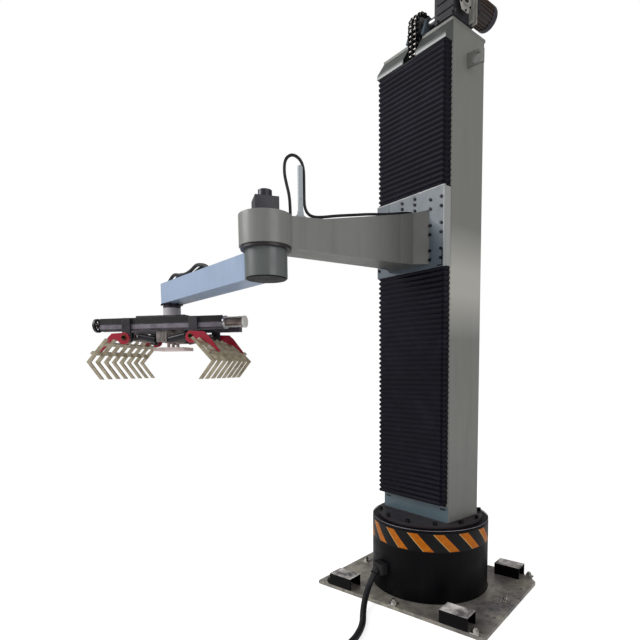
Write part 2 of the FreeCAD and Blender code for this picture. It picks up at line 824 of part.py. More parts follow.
def drive_sprocket():
    body = new_body()
    row_in = "sprocket_row_half_gap - sprocket_row_thick / 2"
    row_out = "sprocket_row_half_gap + sprocket_row_thick / 2"
    tip = "sprocket_pitch_radius + sprocket_tip"
    bore = "sprocket_shaft_radius"
    hub = "sprocket_hub_radius"
    revolve(body, [
        (bore, "-(%s) - 8" % row_out), (hub, "-(%s) - 8" % row_out), (hub, "-(%s)" % row_out),
        (tip + " - 3", "-(%s)" % row_out), (tip, "-(%s) + 4" % row_out),
        (tip, "-(%s) - 4" % row_in), (tip + " - 3", "-(%s)" % row_in),
        (hub, "-(%s)" % row_in), (hub, row_in), (tip + " - 3", row_in), (tip, row_in + " + 4"),
        (tip, row_out + " - 4"), (tip + " - 3", row_out), (hub, row_out),
        (hub, row_out + " + 8"), (bore, row_out + " + 8")])
    seat = "(chain_roller_radius + chain_tooth_play)"
    gap = pocket(body, "XY", -40, 80, [
        ("sprocket_pitch_radius", "-" + seat), ("sprocket_pitch_radius + 12", "-1.25 * " + seat),
        ("sprocket_pitch_radius + 12", "1.25 * " + seat), ("sprocket_pitch_radius", seat),
        ("sprocket_pitch_radius - 0.7 * " + seat, "0.7 * " + seat),
        ("sprocket_pitch_radius - " + seat, 0),
        ("sprocket_pitch_radius - 0.7 * " + seat, "-0.7 * " + seat)])
    around(gap, body, "Z", "sprocket_teeth")
    doc.recompute()
    turned = FreeCAD.Placement(FreeCAD.Vector(0, SIZES["sprocket_axis_y"], SIZES["sprocket_axis_z"]),
                               FreeCAD.Rotation(FreeCAD.Vector(0, 1, 0), 90))
    body.Placement = turned
    node(body, "drive_sprocket", "turret")
    shaft = cylinder("sprocket_shaft_radius", "gearbox_inner_x + bearing_gap + 40",
                     ("-bearing_gap - 40", "sprocket_axis_y", "sprocket_axis_z"), "X")
    node(shaft, "sprocket_shaft", "turret")


def sprocket_brackets():
    body = new_body()
    pad(body, "YZ", "bearing_gap", "bearing_plate_thick",
        [("sprocket_axis_y - 62", "column_top"), ("sprocket_axis_y + 62", "column_top"),
         ("sprocket_axis_y + 30", "sprocket_axis_z + 22"),
         ("sprocket_axis_y + 12", "sprocket_axis_z + 38"),
         ("sprocket_axis_y - 12", "sprocket_axis_z + 38"),
         ("sprocket_axis_y - 30", "sprocket_axis_z + 22")],
        (("sprocket_axis_y", "sprocket_axis_z"), "sprocket_shaft_radius + bearing_play"))
    node(mirror_pair(body, (1, 0, 0)), "sprocket_brackets", "turret")


def lift_gearbox():
    body = new_body()
    low = "column_top"
    high = "column_top + gearbox_height"
    pad(body, "YZ", "gearbox_inner_x", "gearbox_outer_x - gearbox_inner_x",
        rectangle("gearbox_front_y", low, "gearbox_rear_y", high))
    pad(body, "XZ", "-gearbox_rear_y - 26", 26,
        rectangle("motor_axis_x - motor_side / 2 - 6", "motor_axis_z - motor_side / 2 - 6",
                  "motor_axis_x + motor_side / 2 + 6", "motor_axis_z + motor_side / 2 + 6"))
    node(body, "lift_gearbox", "turret")
    motor = new_body()
    half = "motor_side / 2"
    chamfer = "motor_chamfer"
    outline = []
    for sx, sz, first in ((-1, -1, True), (1, -1, False), (1, 1, True), (-1, 1, False)):
        flat = ("motor_axis_x + %d * (%s - %s)" % (sx, half, chamfer),
                "motor_axis_z + %d * %s" % (sz, half))
        side = ("motor_axis_x + %d * %s" % (sx, half),
                "motor_axis_z + %d * (%s - %s)" % (sz, half, chamfer))
        outline += [side, flat] if first else [flat, side]
    pad(motor, "XZ", "-motor_end_y", "motor_end_y - gearbox_rear_y - 26", outline)
    node(motor, "lift_motor", "turret")


def chain_parts():
    front_y = "sprocket_axis_y - sprocket_pitch_radius"
    rear_y = "sprocket_axis_y + sprocket_pitch_radius"
    wide = "2 * chain_half_width"
    clear = "(sprocket_axis_z - 64)"
    skin = "(chain_plate_half - sprocket_tip - 0.4)"
    for label, middle, low, outer_y in (
            ("chain_front", front_y, "anchor_top", front_y + " - chain_plate_half"),
            ("chain_rear", rear_y, "weight_top", rear_y + " + chain_plate_half - " + skin)):
        strand = box((wide, "2 * chain_plate_half", clear + " - " + low),
                     ("-chain_half_width", middle + " - chain_plate_half", low))
        upper = box((wide, skin, "sprocket_axis_z - " + clear),
                    ("-chain_half_width", outer_y, clear))
        node(fuse(strand, upper), label, "turret")
    outer = cylinder("sprocket_pitch_radius + chain_plate_half", wide,
                     ("-chain_half_width", "sprocket_axis_y", "sprocket_axis_z"), "X")
    inner = cylinder("sprocket_pitch_radius + sprocket_tip + 0.4", "chain_half_width * 2 + 2",
                     ("-chain_half_width - 1", "sprocket_axis_y", "sprocket_axis_z"), "X")
    lower = box((wide + " + 2", 260, 130),
                ("-chain_half_width - 1", "sprocket_axis_y - 130", "sprocket_axis_z - 130"))
    node(cut(outer, inner, lower), "chain_wrap", "turret")


def counterweight():
    body = new_body()
    half_x = "weight_width / 2"
    half_y = "weight_depth / 2"
    pad(body, "XY", "weight_top - weight_height", "weight_height - 30",
        rectangle("-" + half_x, "-" + half_y, half_x, half_y))
    pad(body, "XY", "weight_top - 30", 30, rectangle(-34, -24, 34, 20))
    node(body, "counterweight", "turret")


# Carriage and upper arm

def plate_face():
    return "-column_depth / 2 - proud"


def carriage_plate():
    body = new_body()
    pad(body, "XZ", "column_depth / 2 + proud - carriage_thick", "carriage_thick",
        rectangle("-carriage_half_width", "carriage_bottom", "carriage_half_width",
                  "carriage_top"))
    node(body, "carriage_plate", "turret")


def guide_blocks():
    blocks = []
    face = plate_face() + " + carriage_thick"
    for side in (-1, 1):
        for row in range(3):
            middle = "%d * rail_half_gauge" % side
            centre_z = "block_top_z - %d * block_pitch" % row
            whole = box(("block_width", "block_height", "block_length"),
                        (middle + " - block_width / 2", face, centre_z + " - block_length / 2"))
            slot = box(("rail_width + 2 * block_play", "block_height", "block_length + 2"),
                       (middle + " - rail_width / 2 - block_play",
                        "-column_depth / 2 - rail_height - block_play",
                        centre_z + " - block_length / 2 - 1"))
            blocks.append(cut(whole, slot))
    node(group(*blocks), "guide_blocks", "turret")


def plate_bolts():
    heads = []
    spots = []
    for side in (-1, 1):
        for row in range(3):
            for step in (-1, 1):
                for reach in (-1, 1):
                    spots.append(("%d * (rail_half_gauge + %d * block_bolt_x / 2)" % (side, step),
                                  "block_top_z - %d * block_pitch + %d * block_bolt_z / 2"
                                  % (row, reach)))
    for x, z in (("-45", "anchor_top - 8"), ("-45", "anchor_top - 38"), ("45", "anchor_top - 8"),
                 ("45", "anchor_top - 38"), ("45", "anchor_top - 69")):
        spots.append((x, z))
    for x, z in spots:
        head = prism(6, "bolt_head_radius", "bolt_head_height", (0, 0, 0))
        head.Placement = FreeCAD.Placement(FreeCAD.Vector(),
                                           FreeCAD.Rotation(FreeCAD.Vector(1, 0, 0), 90))
        for name, rule in zip("xyz", (x, plate_face(), z)):
            head.setExpression("Placement.Base." + name, bound(rule))
        heads.append(head)
    node(group(*heads), "plate_bolts", "turret")


def chain_anchor():
    front_y = "sprocket_axis_y - sprocket_pitch_radius"
    face = plate_face() + " + carriage_thick"
    block = box(("2 * (anchor_half_width + 20)", "column_depth / 2 - 4 + proud - carriage_thick"
                 " + sprocket_axis_y - sprocket_pitch_radius + chain_plate_half",
                 "anchor_top - anchor_bottom"),
                ("-anchor_half_width - 20", face, "anchor_bottom"))
    node(block, "chain_anchor", "turret")


def upper_arm():
    """Side outline and plan outline crossed, so that the root flares where the arm is deepest."""
    face = plate_face()
    elbow = "-arm_reach"
    side = new_body()
    pad(side, "YZ", "-arm_root_half - 5", "2 * arm_root_half + 10", [
        (elbow, "arm_elbow_low"), (elbow + " + elbow_radius", "arm_elbow_low"),
        (face, "arm_root_low"), (face, "arm_root_high"),
        (elbow + " + arm_knee_back", "arm_knee_high"),
        (elbow + " + arm_level_back", "arm_elbow_high"), (elbow, "arm_elbow_high")])
    plan = new_body()
    half = "arm_half_width"
    root = "arm_root_half"
    near = face + " - 0.45 * arm_flare"
    far = face + " - arm_flare"
    swell = "(arm_half_width + 0.22 * (arm_root_half - arm_half_width))"
    pad(plan, "XY", "arm_elbow_low - 10", "arm_root_high - arm_elbow_low + 20", [
        ("-" + half, elbow), (half, elbow), (half, far), (swell, near), (root, face),
        ("-" + root, face), ("-" + swell, near), ("-" + half, far)])
    crossed = doc.addObject("Part::Common", "Crossed")
    crossed.Base = side
    crossed.Tool = plan
    housing = cylinder("elbow_radius", "arm_elbow_high - arm_elbow_low",
                       (0, elbow, "arm_elbow_low"))
    bore = cylinder("elbow_bore", "arm_elbow_high - arm_elbow_low - elbow_roof + 1",
                    (0, elbow, "arm_elbow_low - 1"))
    hollow = new_body()
    start = elbow + " + elbow_radius"
    pad(hollow, "YZ", "-arm_half_width + arm_wall", "2 * (arm_half_width - arm_wall)", [
        (start, "arm_root_low + arm_wall"), (face + " + 1", "arm_root_low + arm_wall"),
        (face + " + 1", "arm_root_high - arm_wall"),
        (elbow + " + arm_knee_back", "arm_knee_high - 1.2 * arm_wall"),
        (start, "arm_elbow_high - arm_wall")])
    node(cut(fuse(crossed, housing), bore, hollow), "upper_arm", "turret")


def elbow_drive():
    body = new_body()
    low = "arm_elbow_low - elbow_ring_height"
    bore = "elbow_output_radius + elbow_play"
    revolve(body, [
        (bore, low), ("elbow_ring_radius", low), ("elbow_ring_radius", "arm_elbow_low"),
        ("elbow_bore - 1", "arm_elbow_low"),
        ("elbow_bore - 1", "arm_elbow_high - elbow_roof"), (0, "arm_elbow_high - elbow_roof"),
        (0, low + " + elbow_output_height + 1"), (bore, low + " + elbow_output_height + 1")])
    body.Placement = FreeCAD.Placement(FreeCAD.Vector(0, -SIZES["arm_reach"], 0),
                                       FreeCAD.Rotation())
    node(body, "elbow_reducer", "turret")
    motor = new_body()
    half = "elbow_motor_side / 2"
    pad(motor, "XY", "arm_elbow_high", "elbow_motor_height",
        rectangle("-" + half, "-" + half, half, half))
    pad(motor, "XY", "arm_elbow_high + elbow_motor_height", "elbow_cap_height",
        ((0, 0), "elbow_cap_radius"))
    motor.Placement = FreeCAD.Placement(
        FreeCAD.Vector(0, -SIZES["arm_reach"], 0),
        FreeCAD.Rotation(FreeCAD.Vector(0, 0, 1), SIZES["elbow_motor_turn"]))
    node(motor, "elbow_motor", "turret")


def cable_post():
    """Flat bar welded on the arm; its flared foot follows the arm's slope."""
    body = new_body()
    middle = "-arm_reach + post_reach"
    front = middle + " - post_depth / 2"
    rear = middle + " + post_depth / 2"

    def seat(y):
        return "arm_elbow_high + (%s + arm_reach - arm_level_back) * %s" % (y, ARM_TOP_SLOPE)

    foot_front = middle + " - post_foot_depth / 2"
    foot_rear = middle + " + post_foot_depth / 2"
    shoulder = "arm_elbow_high + post_flare_height"
    pad(body, "YZ", "post_x - post_thick / 2", "post_thick", [
        (foot_front, seat(foot_front)), (foot_rear, seat(foot_rear)),
        (middle + " + 0.7 * post_depth", shoulder + " - 24"), (rear, shoulder),
        (rear, "post_top - 5"), (rear + " - 5", "post_top"), (front + " + 5", "post_top"),
        (front, "post_top - 5"), (front, shoulder),
        (middle + " - 0.7 * post_depth", shoulder + " - 24")])
    pocket(body, "YZ", "post_x - post_thick", "2 * post_thick",
           ((middle, shoulder + " + 40"), 4))
    node(body, "cable_post", "turret")


# Forearm

def forearm_beam():
    body = new_body()
    half = "forearm_half_width"
    tall = "forearm_high - forearm_low"
    pad(body, "XY", "forearm_low", tall, rectangle(0, "-" + half, "forearm_length", half))
    pad(body, "XY", "forearm_low", tall, (("forearm_length", 0), half))
    pad(body, "XY", "forearm_low", "forearm_hub_high - forearm_low",
        ((0, 0), "forearm_hub_radius"))
    pad(body, "XY", "forearm_hub_high", "elbow_output_height - elbow_ring_height",
        ((0, 0), "elbow_output_radius"))
    inner = "(forearm_half_width - forearm_wall)"
    pocket(body, "XY", "forearm_low + forearm_wall", tall + " - 2 * forearm_wall",
           rectangle("forearm_hub_radius", "-" + inner, "forearm_length - forearm_half_width",
                     inner))
    slots = []
    for route in FOREARM_HOSE_ROUTES:
        for end, ahead in ((route[0], 1), (route[-1], -1)):
            back = end[0] - ahead * SIZES["hose_slot_back"]
            front = end[0] + ahead * SIZES["hose_slot_front"]
            slots.append(rectangle(min(back, front), "%s - hose_slot_half" % end[1],
                                   max(back, front), "%s + hose_slot_half" % end[1]))
    for slot in slots:
        pocket(body, "XY", "forearm_high - forearm_wall - 1", "forearm_wall + 2", slot)
    node(body, "forearm_beam", "forearm")
    cover = new_body()
    revolve(cover, [
        (0, "forearm_low - hub_cover_thick"),
        ("forearm_hub_radius - 6", "forearm_low - hub_cover_thick"),
        ("forearm_hub_radius - 3", "forearm_low"), (0, "forearm_low")])
    node(cover, "hub_cover", "forearm")


def wrist_reducer():
    body = new_body()
    revolve(body, [
        (0, "forearm_low - wrist_ring_height"),
        ("wrist_ring_radius - 2", "forearm_low - wrist_ring_height"),
        ("wrist_ring_radius", "forearm_low - wrist_ring_height + 2"),
        ("wrist_ring_radius", "forearm_low"), (0, "forearm_low")])
    body.Placement = FreeCAD.Placement(FreeCAD.Vector(SIZES["forearm_length"], 0, 0),
                                       FreeCAD.Rotation())
    node(body, "wrist_reducer", "forearm")


# Gripper: X along the beams, the pivot shafts lie along Y

def wrist_block():
    body = new_body()
    top = "forearm_low - wrist_ring_height - wrist_play"
    revolve(body, [
        (0, "wrist_block_low"), ("wrist_foot_radius", "wrist_block_low"),
        ("wrist_foot_radius", "wrist_block_low + 5"),
        ("wrist_block_radius", "wrist_block_low + wrist_foot_height"),
        ("wrist_block_radius", top), (0, top)])
    node(body, "wrist_block", "gripper")


def gripper_frame():
    body = new_body()
    long = "2 * frame_half_length"
    inner = "(beam_offset - beam_thick / 2)"
    outer = "(beam_offset + beam_thick / 2)"
    pad(body, "XY", "beam_high", "frame_plate_thick",
        rectangle("-frame_plate_half", "-" + outer, "frame_plate_half", outer))
    for side in (-1, 1):
        face = "%d * %s" % (side, outer)
        deep = "%d * (%s - beam_groove)" % (side, outer)
        back = "%d * %s" % (side, inner)
        outline = [(back, "beam_low"), (face, "beam_low"), (face, "beam_low + 42"),
                   (deep, "beam_low + 42"), (deep, "beam_high - 10"), (face, "beam_high - 10"),
                   (face, "beam_high"), (back, "beam_high")]
        pad(body, "YZ", "-frame_half_length", long, outline)
    node(body, "gripper_frame", "gripper")


def claw_brackets():
    body = new_body()
    centre = "claw_half_span"
    half = "bracket_half_width"
    pad(body, "XZ", BRACKET + " - bracket_thick / 2", "bracket_thick",
        [(centre + " - " + half, "claw_axis_z"), (centre + " - 18", "claw_axis_z - 22"),
         (centre + " + 18", "claw_axis_z - 22"), (centre + " + " + half, "claw_axis_z"),
         (centre + " + " + half, "beam_high + 4"), (centre + " - " + half, "beam_high + 4")],
        ((centre, "claw_axis_z"), "claw_shaft_radius + pivot_play"))
    quarter = mirror_pair(body, (1, 0, 0))
    node(mirror_pair(quarter, (0, 1, 0)), "claw_brackets", "gripper")


def adjuster():
    wheel = new_body()
    rim_in = "handwheel_radius - 2 * handwheel_rim"
    reach = "-frame_half_length"
    near_y = "-beam_offset"
    middle_z = "((beam_low + beam_high) / 2 + spindle_rise)"
    pad(wheel, "YZ", "handwheel_s - handwheel_rim", "2 * handwheel_rim",
        ((near_y, middle_z), "handwheel_radius"), ((near_y, middle_z), rim_in))
    for turn in range(3):
        lean = "%d * 60" % turn
        ax, az = "cos(%s)" % lean, "sin(%s)" % lean
        reach_in = "(handwheel_radius - handwheel_rim)"
        corners = []
        for end, edge in ((-1, -1), (1, -1), (1, 1), (-1, 1)):
            corners.append(("%s + %d * %s * %s - %d * 4 * %s" % (near_y, end, reach_in, ax, edge, az),
                            "%s + %d * %s * %s + %d * 4 * %s" % (middle_z, end, reach_in, az, edge, ax)))
        pad(wheel, "YZ", "handwheel_s - 3", 6, corners)
    pad(wheel, "YZ", "handwheel_s - 8", reach + " - handwheel_s + 8 - wrist_play",
        ((near_y, middle_z), "handwheel_shaft"))
    node(wheel, "handwheel", "gripper")
    body = new_body()
    pad(body, "YZ", "frame_half_length", "adjuster_start - frame_half_length",
        ((near_y, middle_z), "adjuster_radius + 5"))
    pad(body, "YZ", "adjuster_start", "adjuster_end - adjuster_start - 44",
        ((near_y, middle_z), "adjuster_radius - 4"))
    pad(body, "YZ", "adjuster_end - 44", 44, ((near_y, middle_z), "adjuster_radius"))
    node(body, "adjuster_cylinder", "gripper")


def press_unit():
    post = new_body()
    low = "post_low"
    pad(post, "XY", low, "beam_high - post_low",
        rectangle("-post_half_s", "-post_half_t", "post_half_s", "post_half_t"))
    rods = []
    for side in (-1, 0, 1):
        rods.append((("%d * press_rod_span" % side, 0), "press_rod_radius + pivot_play"))
    pocket(post, "XY", low + " - 1", "press_rod_sink + 2", *rods)
    node(post, "press_cylinder", "gripper")
    plate = new_body()
    pad(plate, "XY", "press_plate_low", "press_plate_thick",
        rectangle("-press_plate_half_s", "-press_plate_half_t", "press_plate_half_s",
                  "press_plate_half_t"))
    stems = []
    for side in (-1, 0, 1):
        top = "press_plate_low + press_plate_thick"
        stems.append(cylinder("press_rod_radius", "post_low + press_rod_sink - (%s)" % top,
                              ("%d * press_rod_span" % side, 0, top)))
    node(group(plate, *stems), "press_plate", "gripper")


def rear_carrier():
    """Cross bar on the post that carries the rear pins of the claw cylinders."""
    bar = box(("2 * (cylinder_rear_s + 9)", "2 * (lever_offset + lever_thick)", 14),
              ("-cylinder_rear_s - 9", "-lever_offset - lever_thick", "beam_low - 14"))
    gap = box(("2 * post_half_s + 1", "2 * post_half_t + 0", 16),
              ("-post_half_s - 0.5", "-post_half_t", "beam_low - 15"))
    cheeks = []
    for side in (-1, 1):
        for face in (-1, 1):
            middle = "%d * lever_offset + %d * (lever_thick / 2 + 4.2) - 4" % (side, face)
            cheeks.append(box(("2 * (cylinder_rear_s + 9)", 8, "beam_low - 14 - cylinder_rear_z + 9"),
                              ("-cylinder_rear_s - 9", middle, "cylinder_rear_z - 9")))
    whole = fuse(cut(bar, gap), *cheeks)
    holes = []
    for side in (-1, 1):
        holes.append(cylinder("lever_pin_radius + pivot_play", "4 * lever_offset",
                              ("%d * cylinder_rear_s" % side, "-2 * lever_offset",
                               "cylinder_rear_z"), "Y"))
    node(cut(whole, *holes), "cylinder_carrier", "gripper")


def claw(side, name):
    """One jaw: side is 1 for the jaw at +X and -1 for its mirror image."""
    def flip(points):
        return [("%d * (%s)" % (side, x), z) for x, z in points]

    centre = "claw_half_span"
    plates = []
    for face in (-1, 1):
        plate = new_body()
        level = "%d * %s - claw_plate_thick / 2" % (face, CLAW_PLATE)
        outline = flip([
            ("193", "claw_axis_z + 33"), ("283", "claw_axis_z + 29"), ("307", "claw_axis_z + 8"),
            ("324", "claw_axis_z - 13"), ("375", "claw_axis_z - 80"),
            ("368", "claw_axis_z - 86"), ("312", "claw_axis_z - 38"),
            ("281", "claw_axis_z - 24"), ("249", "claw_axis_z - 11"),
            ("223", "claw_axis_z - 33")])
        pad(plate, "XZ", level, "claw_plate_thick", outline)
        pad(plate, "XZ", level, "claw_plate_thick",
            (("%d * %s" % (side, centre), "claw_axis_z"), "claw_hub_radius"))
        pocket(plate, "XZ", level + " - 1", "claw_plate_thick + 2",
               (("%d * %s" % (side, centre), "claw_axis_z"), "claw_shaft_radius"))
        plates.append(plate)
    node(group(*plates), name + "_claw_plates", "gripper")
    shaft_half = "(%s + claw_plate_thick / 2 - finger_thick / 2 + 8)" % CLAW_PLATE
    shaft = cylinder("claw_shaft_radius", "2 * " + shaft_half,
                     ("%d * %s" % (side, centre), "-" + shaft_half, "claw_axis_z"), "Y")
    levers = []
    for face in (-1, 1):
        level = "%d * lever_offset - lever_thick / 2" % face
        lever = new_body()
        pin = ("%d * (%s - lever_pin_back)" % (side, centre), "claw_axis_z + lever_pin_rise")
        pad(lever, "XZ", level, "lever_thick",
            (("%d * %s" % (side, centre), "claw_axis_z"), "lever_radius"))
        pad(lever, "XZ", level, "lever_thick", (pin, "lever_eye_radius"))
        pad(lever, "XZ", level + " - fork_side", "lever_thick + 2 * fork_side",
            (pin, "lever_pin_radius"))
        levers.append(lever)
    node(fuse(shaft, *levers), name + "_claw_shaft", "gripper")
    rake(side, name, flip)


def rake(side, name, flip):
    """The row of bent fingers with the two rails that join them."""
    body = new_body()
    start = "-(finger_count - 1) / 2 * finger_pitch - finger_thick / 2"
    finger = pad(body, "XZ", start, "finger_thick", flip([
        ("finger_top_s", "finger_top_z"), ("finger_bend_s", "finger_bend_z"),
        ("finger_tip_s", "finger_tip_z"), ("finger_tip_s - finger_tip_width", "finger_tip_z"),
        ("finger_bend_s - finger_width", "finger_bend_z - 3"),
        ("finger_top_s - finger_width * 0.6", "finger_top_z - 8")]))
    long = "(finger_count - 1) * finger_pitch + finger_thick"
    run_s = "(finger_bend_s - finger_top_s)"
    run_z = "(finger_bend_z - finger_top_z)"
    run = "sqrt(%s ^ 2 + %s ^ 2)" % (run_s, run_z)

    def on_finger(along, proud):
        """Give a spot at a distance along the finger's outer edge and out from it."""
        return ("finger_top_s + ((%s) * %s - (%s) * %s) / %s" % (along, run_s, proud, run_z, run),
                "finger_top_z + ((%s) * %s + (%s) * %s) / %s" % (along, run_z, proud, run_s, run))

    for rail in ("upper_rail", "lower_rail"):
        near = rail + "_reach"
        far = "%s_reach + %s_width" % (rail, rail)
        pad(body, "XZ", start, long, flip([
            on_finger(near, "-%s_sink" % rail), on_finger(near, rail + "_proud"),
            on_finger(far, rail + "_proud"), on_finger(far, "-%s_sink" % rail)]))
    doc.recompute()
    pattern = body.newObject("PartDesign::LinearPattern", "Row")
    pattern.Originals = [finger]
    support = [item for item in body.Origin.OriginFeatures if item.Role == "Y_Axis"][0]
    pattern.Direction = (support, [""])
    pattern.Reversed = True
    pattern.setExpression("Length", bound("(finger_count - 1) * finger_pitch"))
    pattern.Occurrences = int(SIZES["finger_count"])
    body.Tip = pattern
    node(body, name + "_fingers", "gripper")


def claw_cylinder(side, name):
    """Two air cylinders abreast, between the carrier's pins and the claw's levers."""
    rear = FreeCAD.Vector(side * SIZES["cylinder_rear_s"], 0, SIZES["cylinder_rear_z"])
    front = FreeCAD.Vector(side * (SIZES["claw_half_span"] - SIZES["lever_pin_back"]), 0,
                           SIZES["claw_axis_z"] + SIZES["lever_pin_rise"])
    reach = (front - rear).Length
    slope = math.degrees(math.atan2(front.z - rear.z, abs(front.x - rear.x)))
    stand = FreeCAD.Placement(rear, FreeCAD.Rotation(FreeCAD.Vector(0, 1, 0), -slope))
    if side < 0:
        stand = FreeCAD.Placement(rear, FreeCAD.Rotation(FreeCAD.Vector(0, 1, 0), 180 + slope))
    bodies = []
    rods = []
    for face in (-1, 1):
        middle = "%d * lever_offset" % face
        body = new_body()
        pad(body, "YZ", "cylinder_back", "cylinder_length", ((middle, 0), "cylinder_radius"))
        pad(body, "XZ", "%d * lever_offset - lever_thick / 2 + 0.2" % -face, "lever_thick - 0.4",
            rectangle(-8, -9, "cylinder_back", 9))
        pad(body, "XZ", "%d * lever_offset - lever_thick / 2 - 8.3" % -face, "lever_thick + 16.6",
            ((0, 0), "lever_pin_radius"))
        pocket(body, "YZ", "cylinder_back + cylinder_length - rod_sink", "rod_sink + 1",
               ((middle, 0), "rod_radius + rod_play"))
        body.Placement = stand
        bodies.append(body)
        rod = new_body()
        tip = repr(reach)
        pad(rod, "YZ", "cylinder_back + cylinder_length - rod_sink + 24",
            "%s - cylinder_back - cylinder_length + rod_sink - 24 - fork_back" % tip,
            ((middle, 0), "rod_radius"))
        across = "(lever_thick / 2 + fork_gap + fork_cheek)"
        flat = rectangle("%s - fork_back - 4" % tip, "-rod_eye_radius + 1",
                         "%s - fork_back + 8" % tip, "rod_eye_radius - 1")
        pad(rod, "XZ", "%d * lever_offset - %s" % (-face, across), "2 * " + across, flat)
        for cheek in (-1, 1):
            level = "%d * lever_offset + %d * (%s - fork_cheek / 2) - fork_cheek / 2" % (
                -face, cheek, across)
            pad(rod, "XZ", level, "fork_cheek",
                rectangle("%s - fork_back + 4" % tip, "-rod_eye_radius + 1", tip,
                          "rod_eye_radius - 1"))
            pad(rod, "XZ", level, "fork_cheek", ((tip, 0), "rod_eye_radius"))
            pocket(rod, "XZ", level + " - 0.5", "fork_cheek + 1",
                   ((tip, 0), "lever_pin_radius + rod_eye_play"))
        rods.append(rod)
        rod.Placement = stand
    node(group(*bodies), name + "_cylinders", "gripper")
    node(group(*rods), name + "_rods", "gripper")


# Cords

HOSE_DIAMETER = 34.0
HOSE_ROUTE = [
    (-152, -362, 130), (-152, -386, 110), (-148, -424, 76), (-130, -478, 50), (-98, -540, 30),
    (-58, -604, 19), (-12, -668, 18), (24, -744, 18), (48, -826, 18), (52, -908, 18),
    (43, -988, 18)]
ARM_CABLE_DIAMETER = 13.0
ARM_CABLE_ROUTE = [
    (20, -199.5, 2125), (24, -256, 2116), (33, -346, 2090), (44, -444, 2066), (56, -546, 2044),
    (54, -656, 2019), (56, -764, 1994), (55, -838, 1974), (54, -890, 1964), (55, -925, 1970),
    (55, -943, 1998), (55, -944, 2048), (55, -943.5, 2102), (55, -944, 2162), (55, -962, 2196),
    (55, -1004, 2206), (55, -1042, 2176), (55, -1048, 2122), (55, -1037, 2076),
    (55, -1024, 2036), (55, -1019, 1990), (55, -1018.5, 1939.6)]


def cords():
    cord("supply_hose", "base", HOSE_ROUTE, HOSE_DIAMETER)
    cord("arm_cable", "turret", ARM_CABLE_ROUTE, ARM_CABLE_DIAMETER)
    tubes = []
    for route in FOREARM_HOSE_ROUTES:
        tubes.append(tube_along(route, FOREARM_HOSE_DIAMETER, "forearm hose"))
    node(group(*tubes), "forearm_hoses", "forearm")


def hose_gland():
    """Angled gland bolted on the drum, whose collar points down along the hose."""
    block = new_body()
    front = "-drum_radius - gland_depth"
    pad(block, "XY", "gland_low", "gland_height", [
        ("-gland_width / 2", "-drum_radius + 30"), ("-gland_width / 2", front + " + 10"),
        ("-gland_width / 2 + 10", front), ("gland_width / 2 - 10", front),
        ("gland_width / 2", front + " + 10"), ("gland_width / 2", "-drum_radius + 30")])
    block.Placement = FreeCAD.Placement(
        FreeCAD.Vector(), FreeCAD.Rotation(FreeCAD.Vector(0, 0, 1), SIZES["gland_turn"]))
    start = FreeCAD.Vector(*HOSE_ROUTE[0])
    ahead = (FreeCAD.Vector(*HOSE_ROUTE[1]) - start).normalize()
    collar = doc.addObject("Part::Cylinder", "Collar")
    collar.setExpression("Radius", bound("gland_collar_radius"))
    collar.setExpression("Height", bound("gland_collar_length"))
    collar.Placement = FreeCAD.Placement(
        start - ahead * SIZES["gland_collar_length"],
        FreeCAD.Rotation(FreeCAD.Vector(0, 0, 1), ahead))
    wall = cylinder("drum_radius", "drum_top", (0, 0, 0))
    node(cut(fuse(block, collar), wall), "hose_gland", "base")


def hose_coil():
    """The length beyond the view, wound flat on the floor, and the connector inside it."""
    centre = FreeCAD.Vector(SIZES["coil_centre_x"], SIZES["coil_centre_y"], 0)
    ring = new_body()
    outer = "coil_mean_radius + coil_half_width"
    inner = "coil_mean_radius - coil_half_width"
    revolve(ring, [
        (inner, 0), (outer, 0), (outer, "coil_thick - 12"), (outer + " - 12", "coil_thick"),
        (inner + " + 12", "coil_thick"), (inner, "coil_thick - 12")])
    ring.Placement = FreeCAD.Placement(centre, FreeCAD.Rotation())
    node(ring, "supply_hose_coil", "base")
    plug = new_body()
    low_x = "coil_centre_x - sqrt((%s) ^ 2 - (plug_length / 2) ^ 2) + 0.3" % inner
    low_y = "coil_centre_y - plug_length / 2"
    pad(plug, "XY", 0, "plug_height", [
        (low_x, low_y), (low_x + " + plug_width", low_y),
        (low_x + " + plug_width", low_y + " + plug_length"),
        (low_x, low_y + " + plug_length")])
    node(plug, "supply_plug", "base")


def build():
    ground_plate()
    fork_channels()
    floor_bolts()
    base_drum()
    slewing_ring()
    base_drive()
    hose_gland()
    hose_coil()
    cords()
    turntable()
    turntable_bolts()
    column_shell()
    top_plate()
    upper_hood()
    bellows_foot()
    lifting_lugs()
    linear_rails()
    bellows("bellows_upper", "carriage_top + 0.5", "hood_bottom - 0.5")
    bellows("bellows_lower", "bellows_foot_height", "carriage_bottom - 0.5")
    drive_sprocket()
    sprocket_brackets()
    lift_gearbox()
    chain_parts()
    counterweight()
    carriage_plate()
    guide_blocks()
    plate_bolts()
    chain_anchor()
    upper_arm()
    elbow_drive()
    cable_post()
    forearm_beam()
    wrist_reducer()
    wrist_block()
    gripper_frame()
    claw_brackets()
    adjuster()
    press_unit()
    rear_carrier()
    for side, name in ((1, "right"), (-1, "left")):
        claw(side, name)
        claw_cylinder(side, name)


def write_parts():
    doc.recompute()
    for item in doc.Objects:
        if "Invalid" in item.State or "Error" in item.State:
            raise RuntimeError("%s (%s) did not build" % (item.Name, item.Label))
    os.makedirs("parts", exist_ok=True)
    for item in NODES:
        shape = item.Shape
        if shape.isNull() or not shape.isValid():
            raise RuntimeError("%s has no valid shape" % item.Label)
        print("%s: %d solids, %.0f cm3" % (item.Label, len(shape.Solids), shape.Volume / 1000))
        shape.exportStep("parts/%s.step" % item.Label)


build()
write_parts()
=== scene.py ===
import math

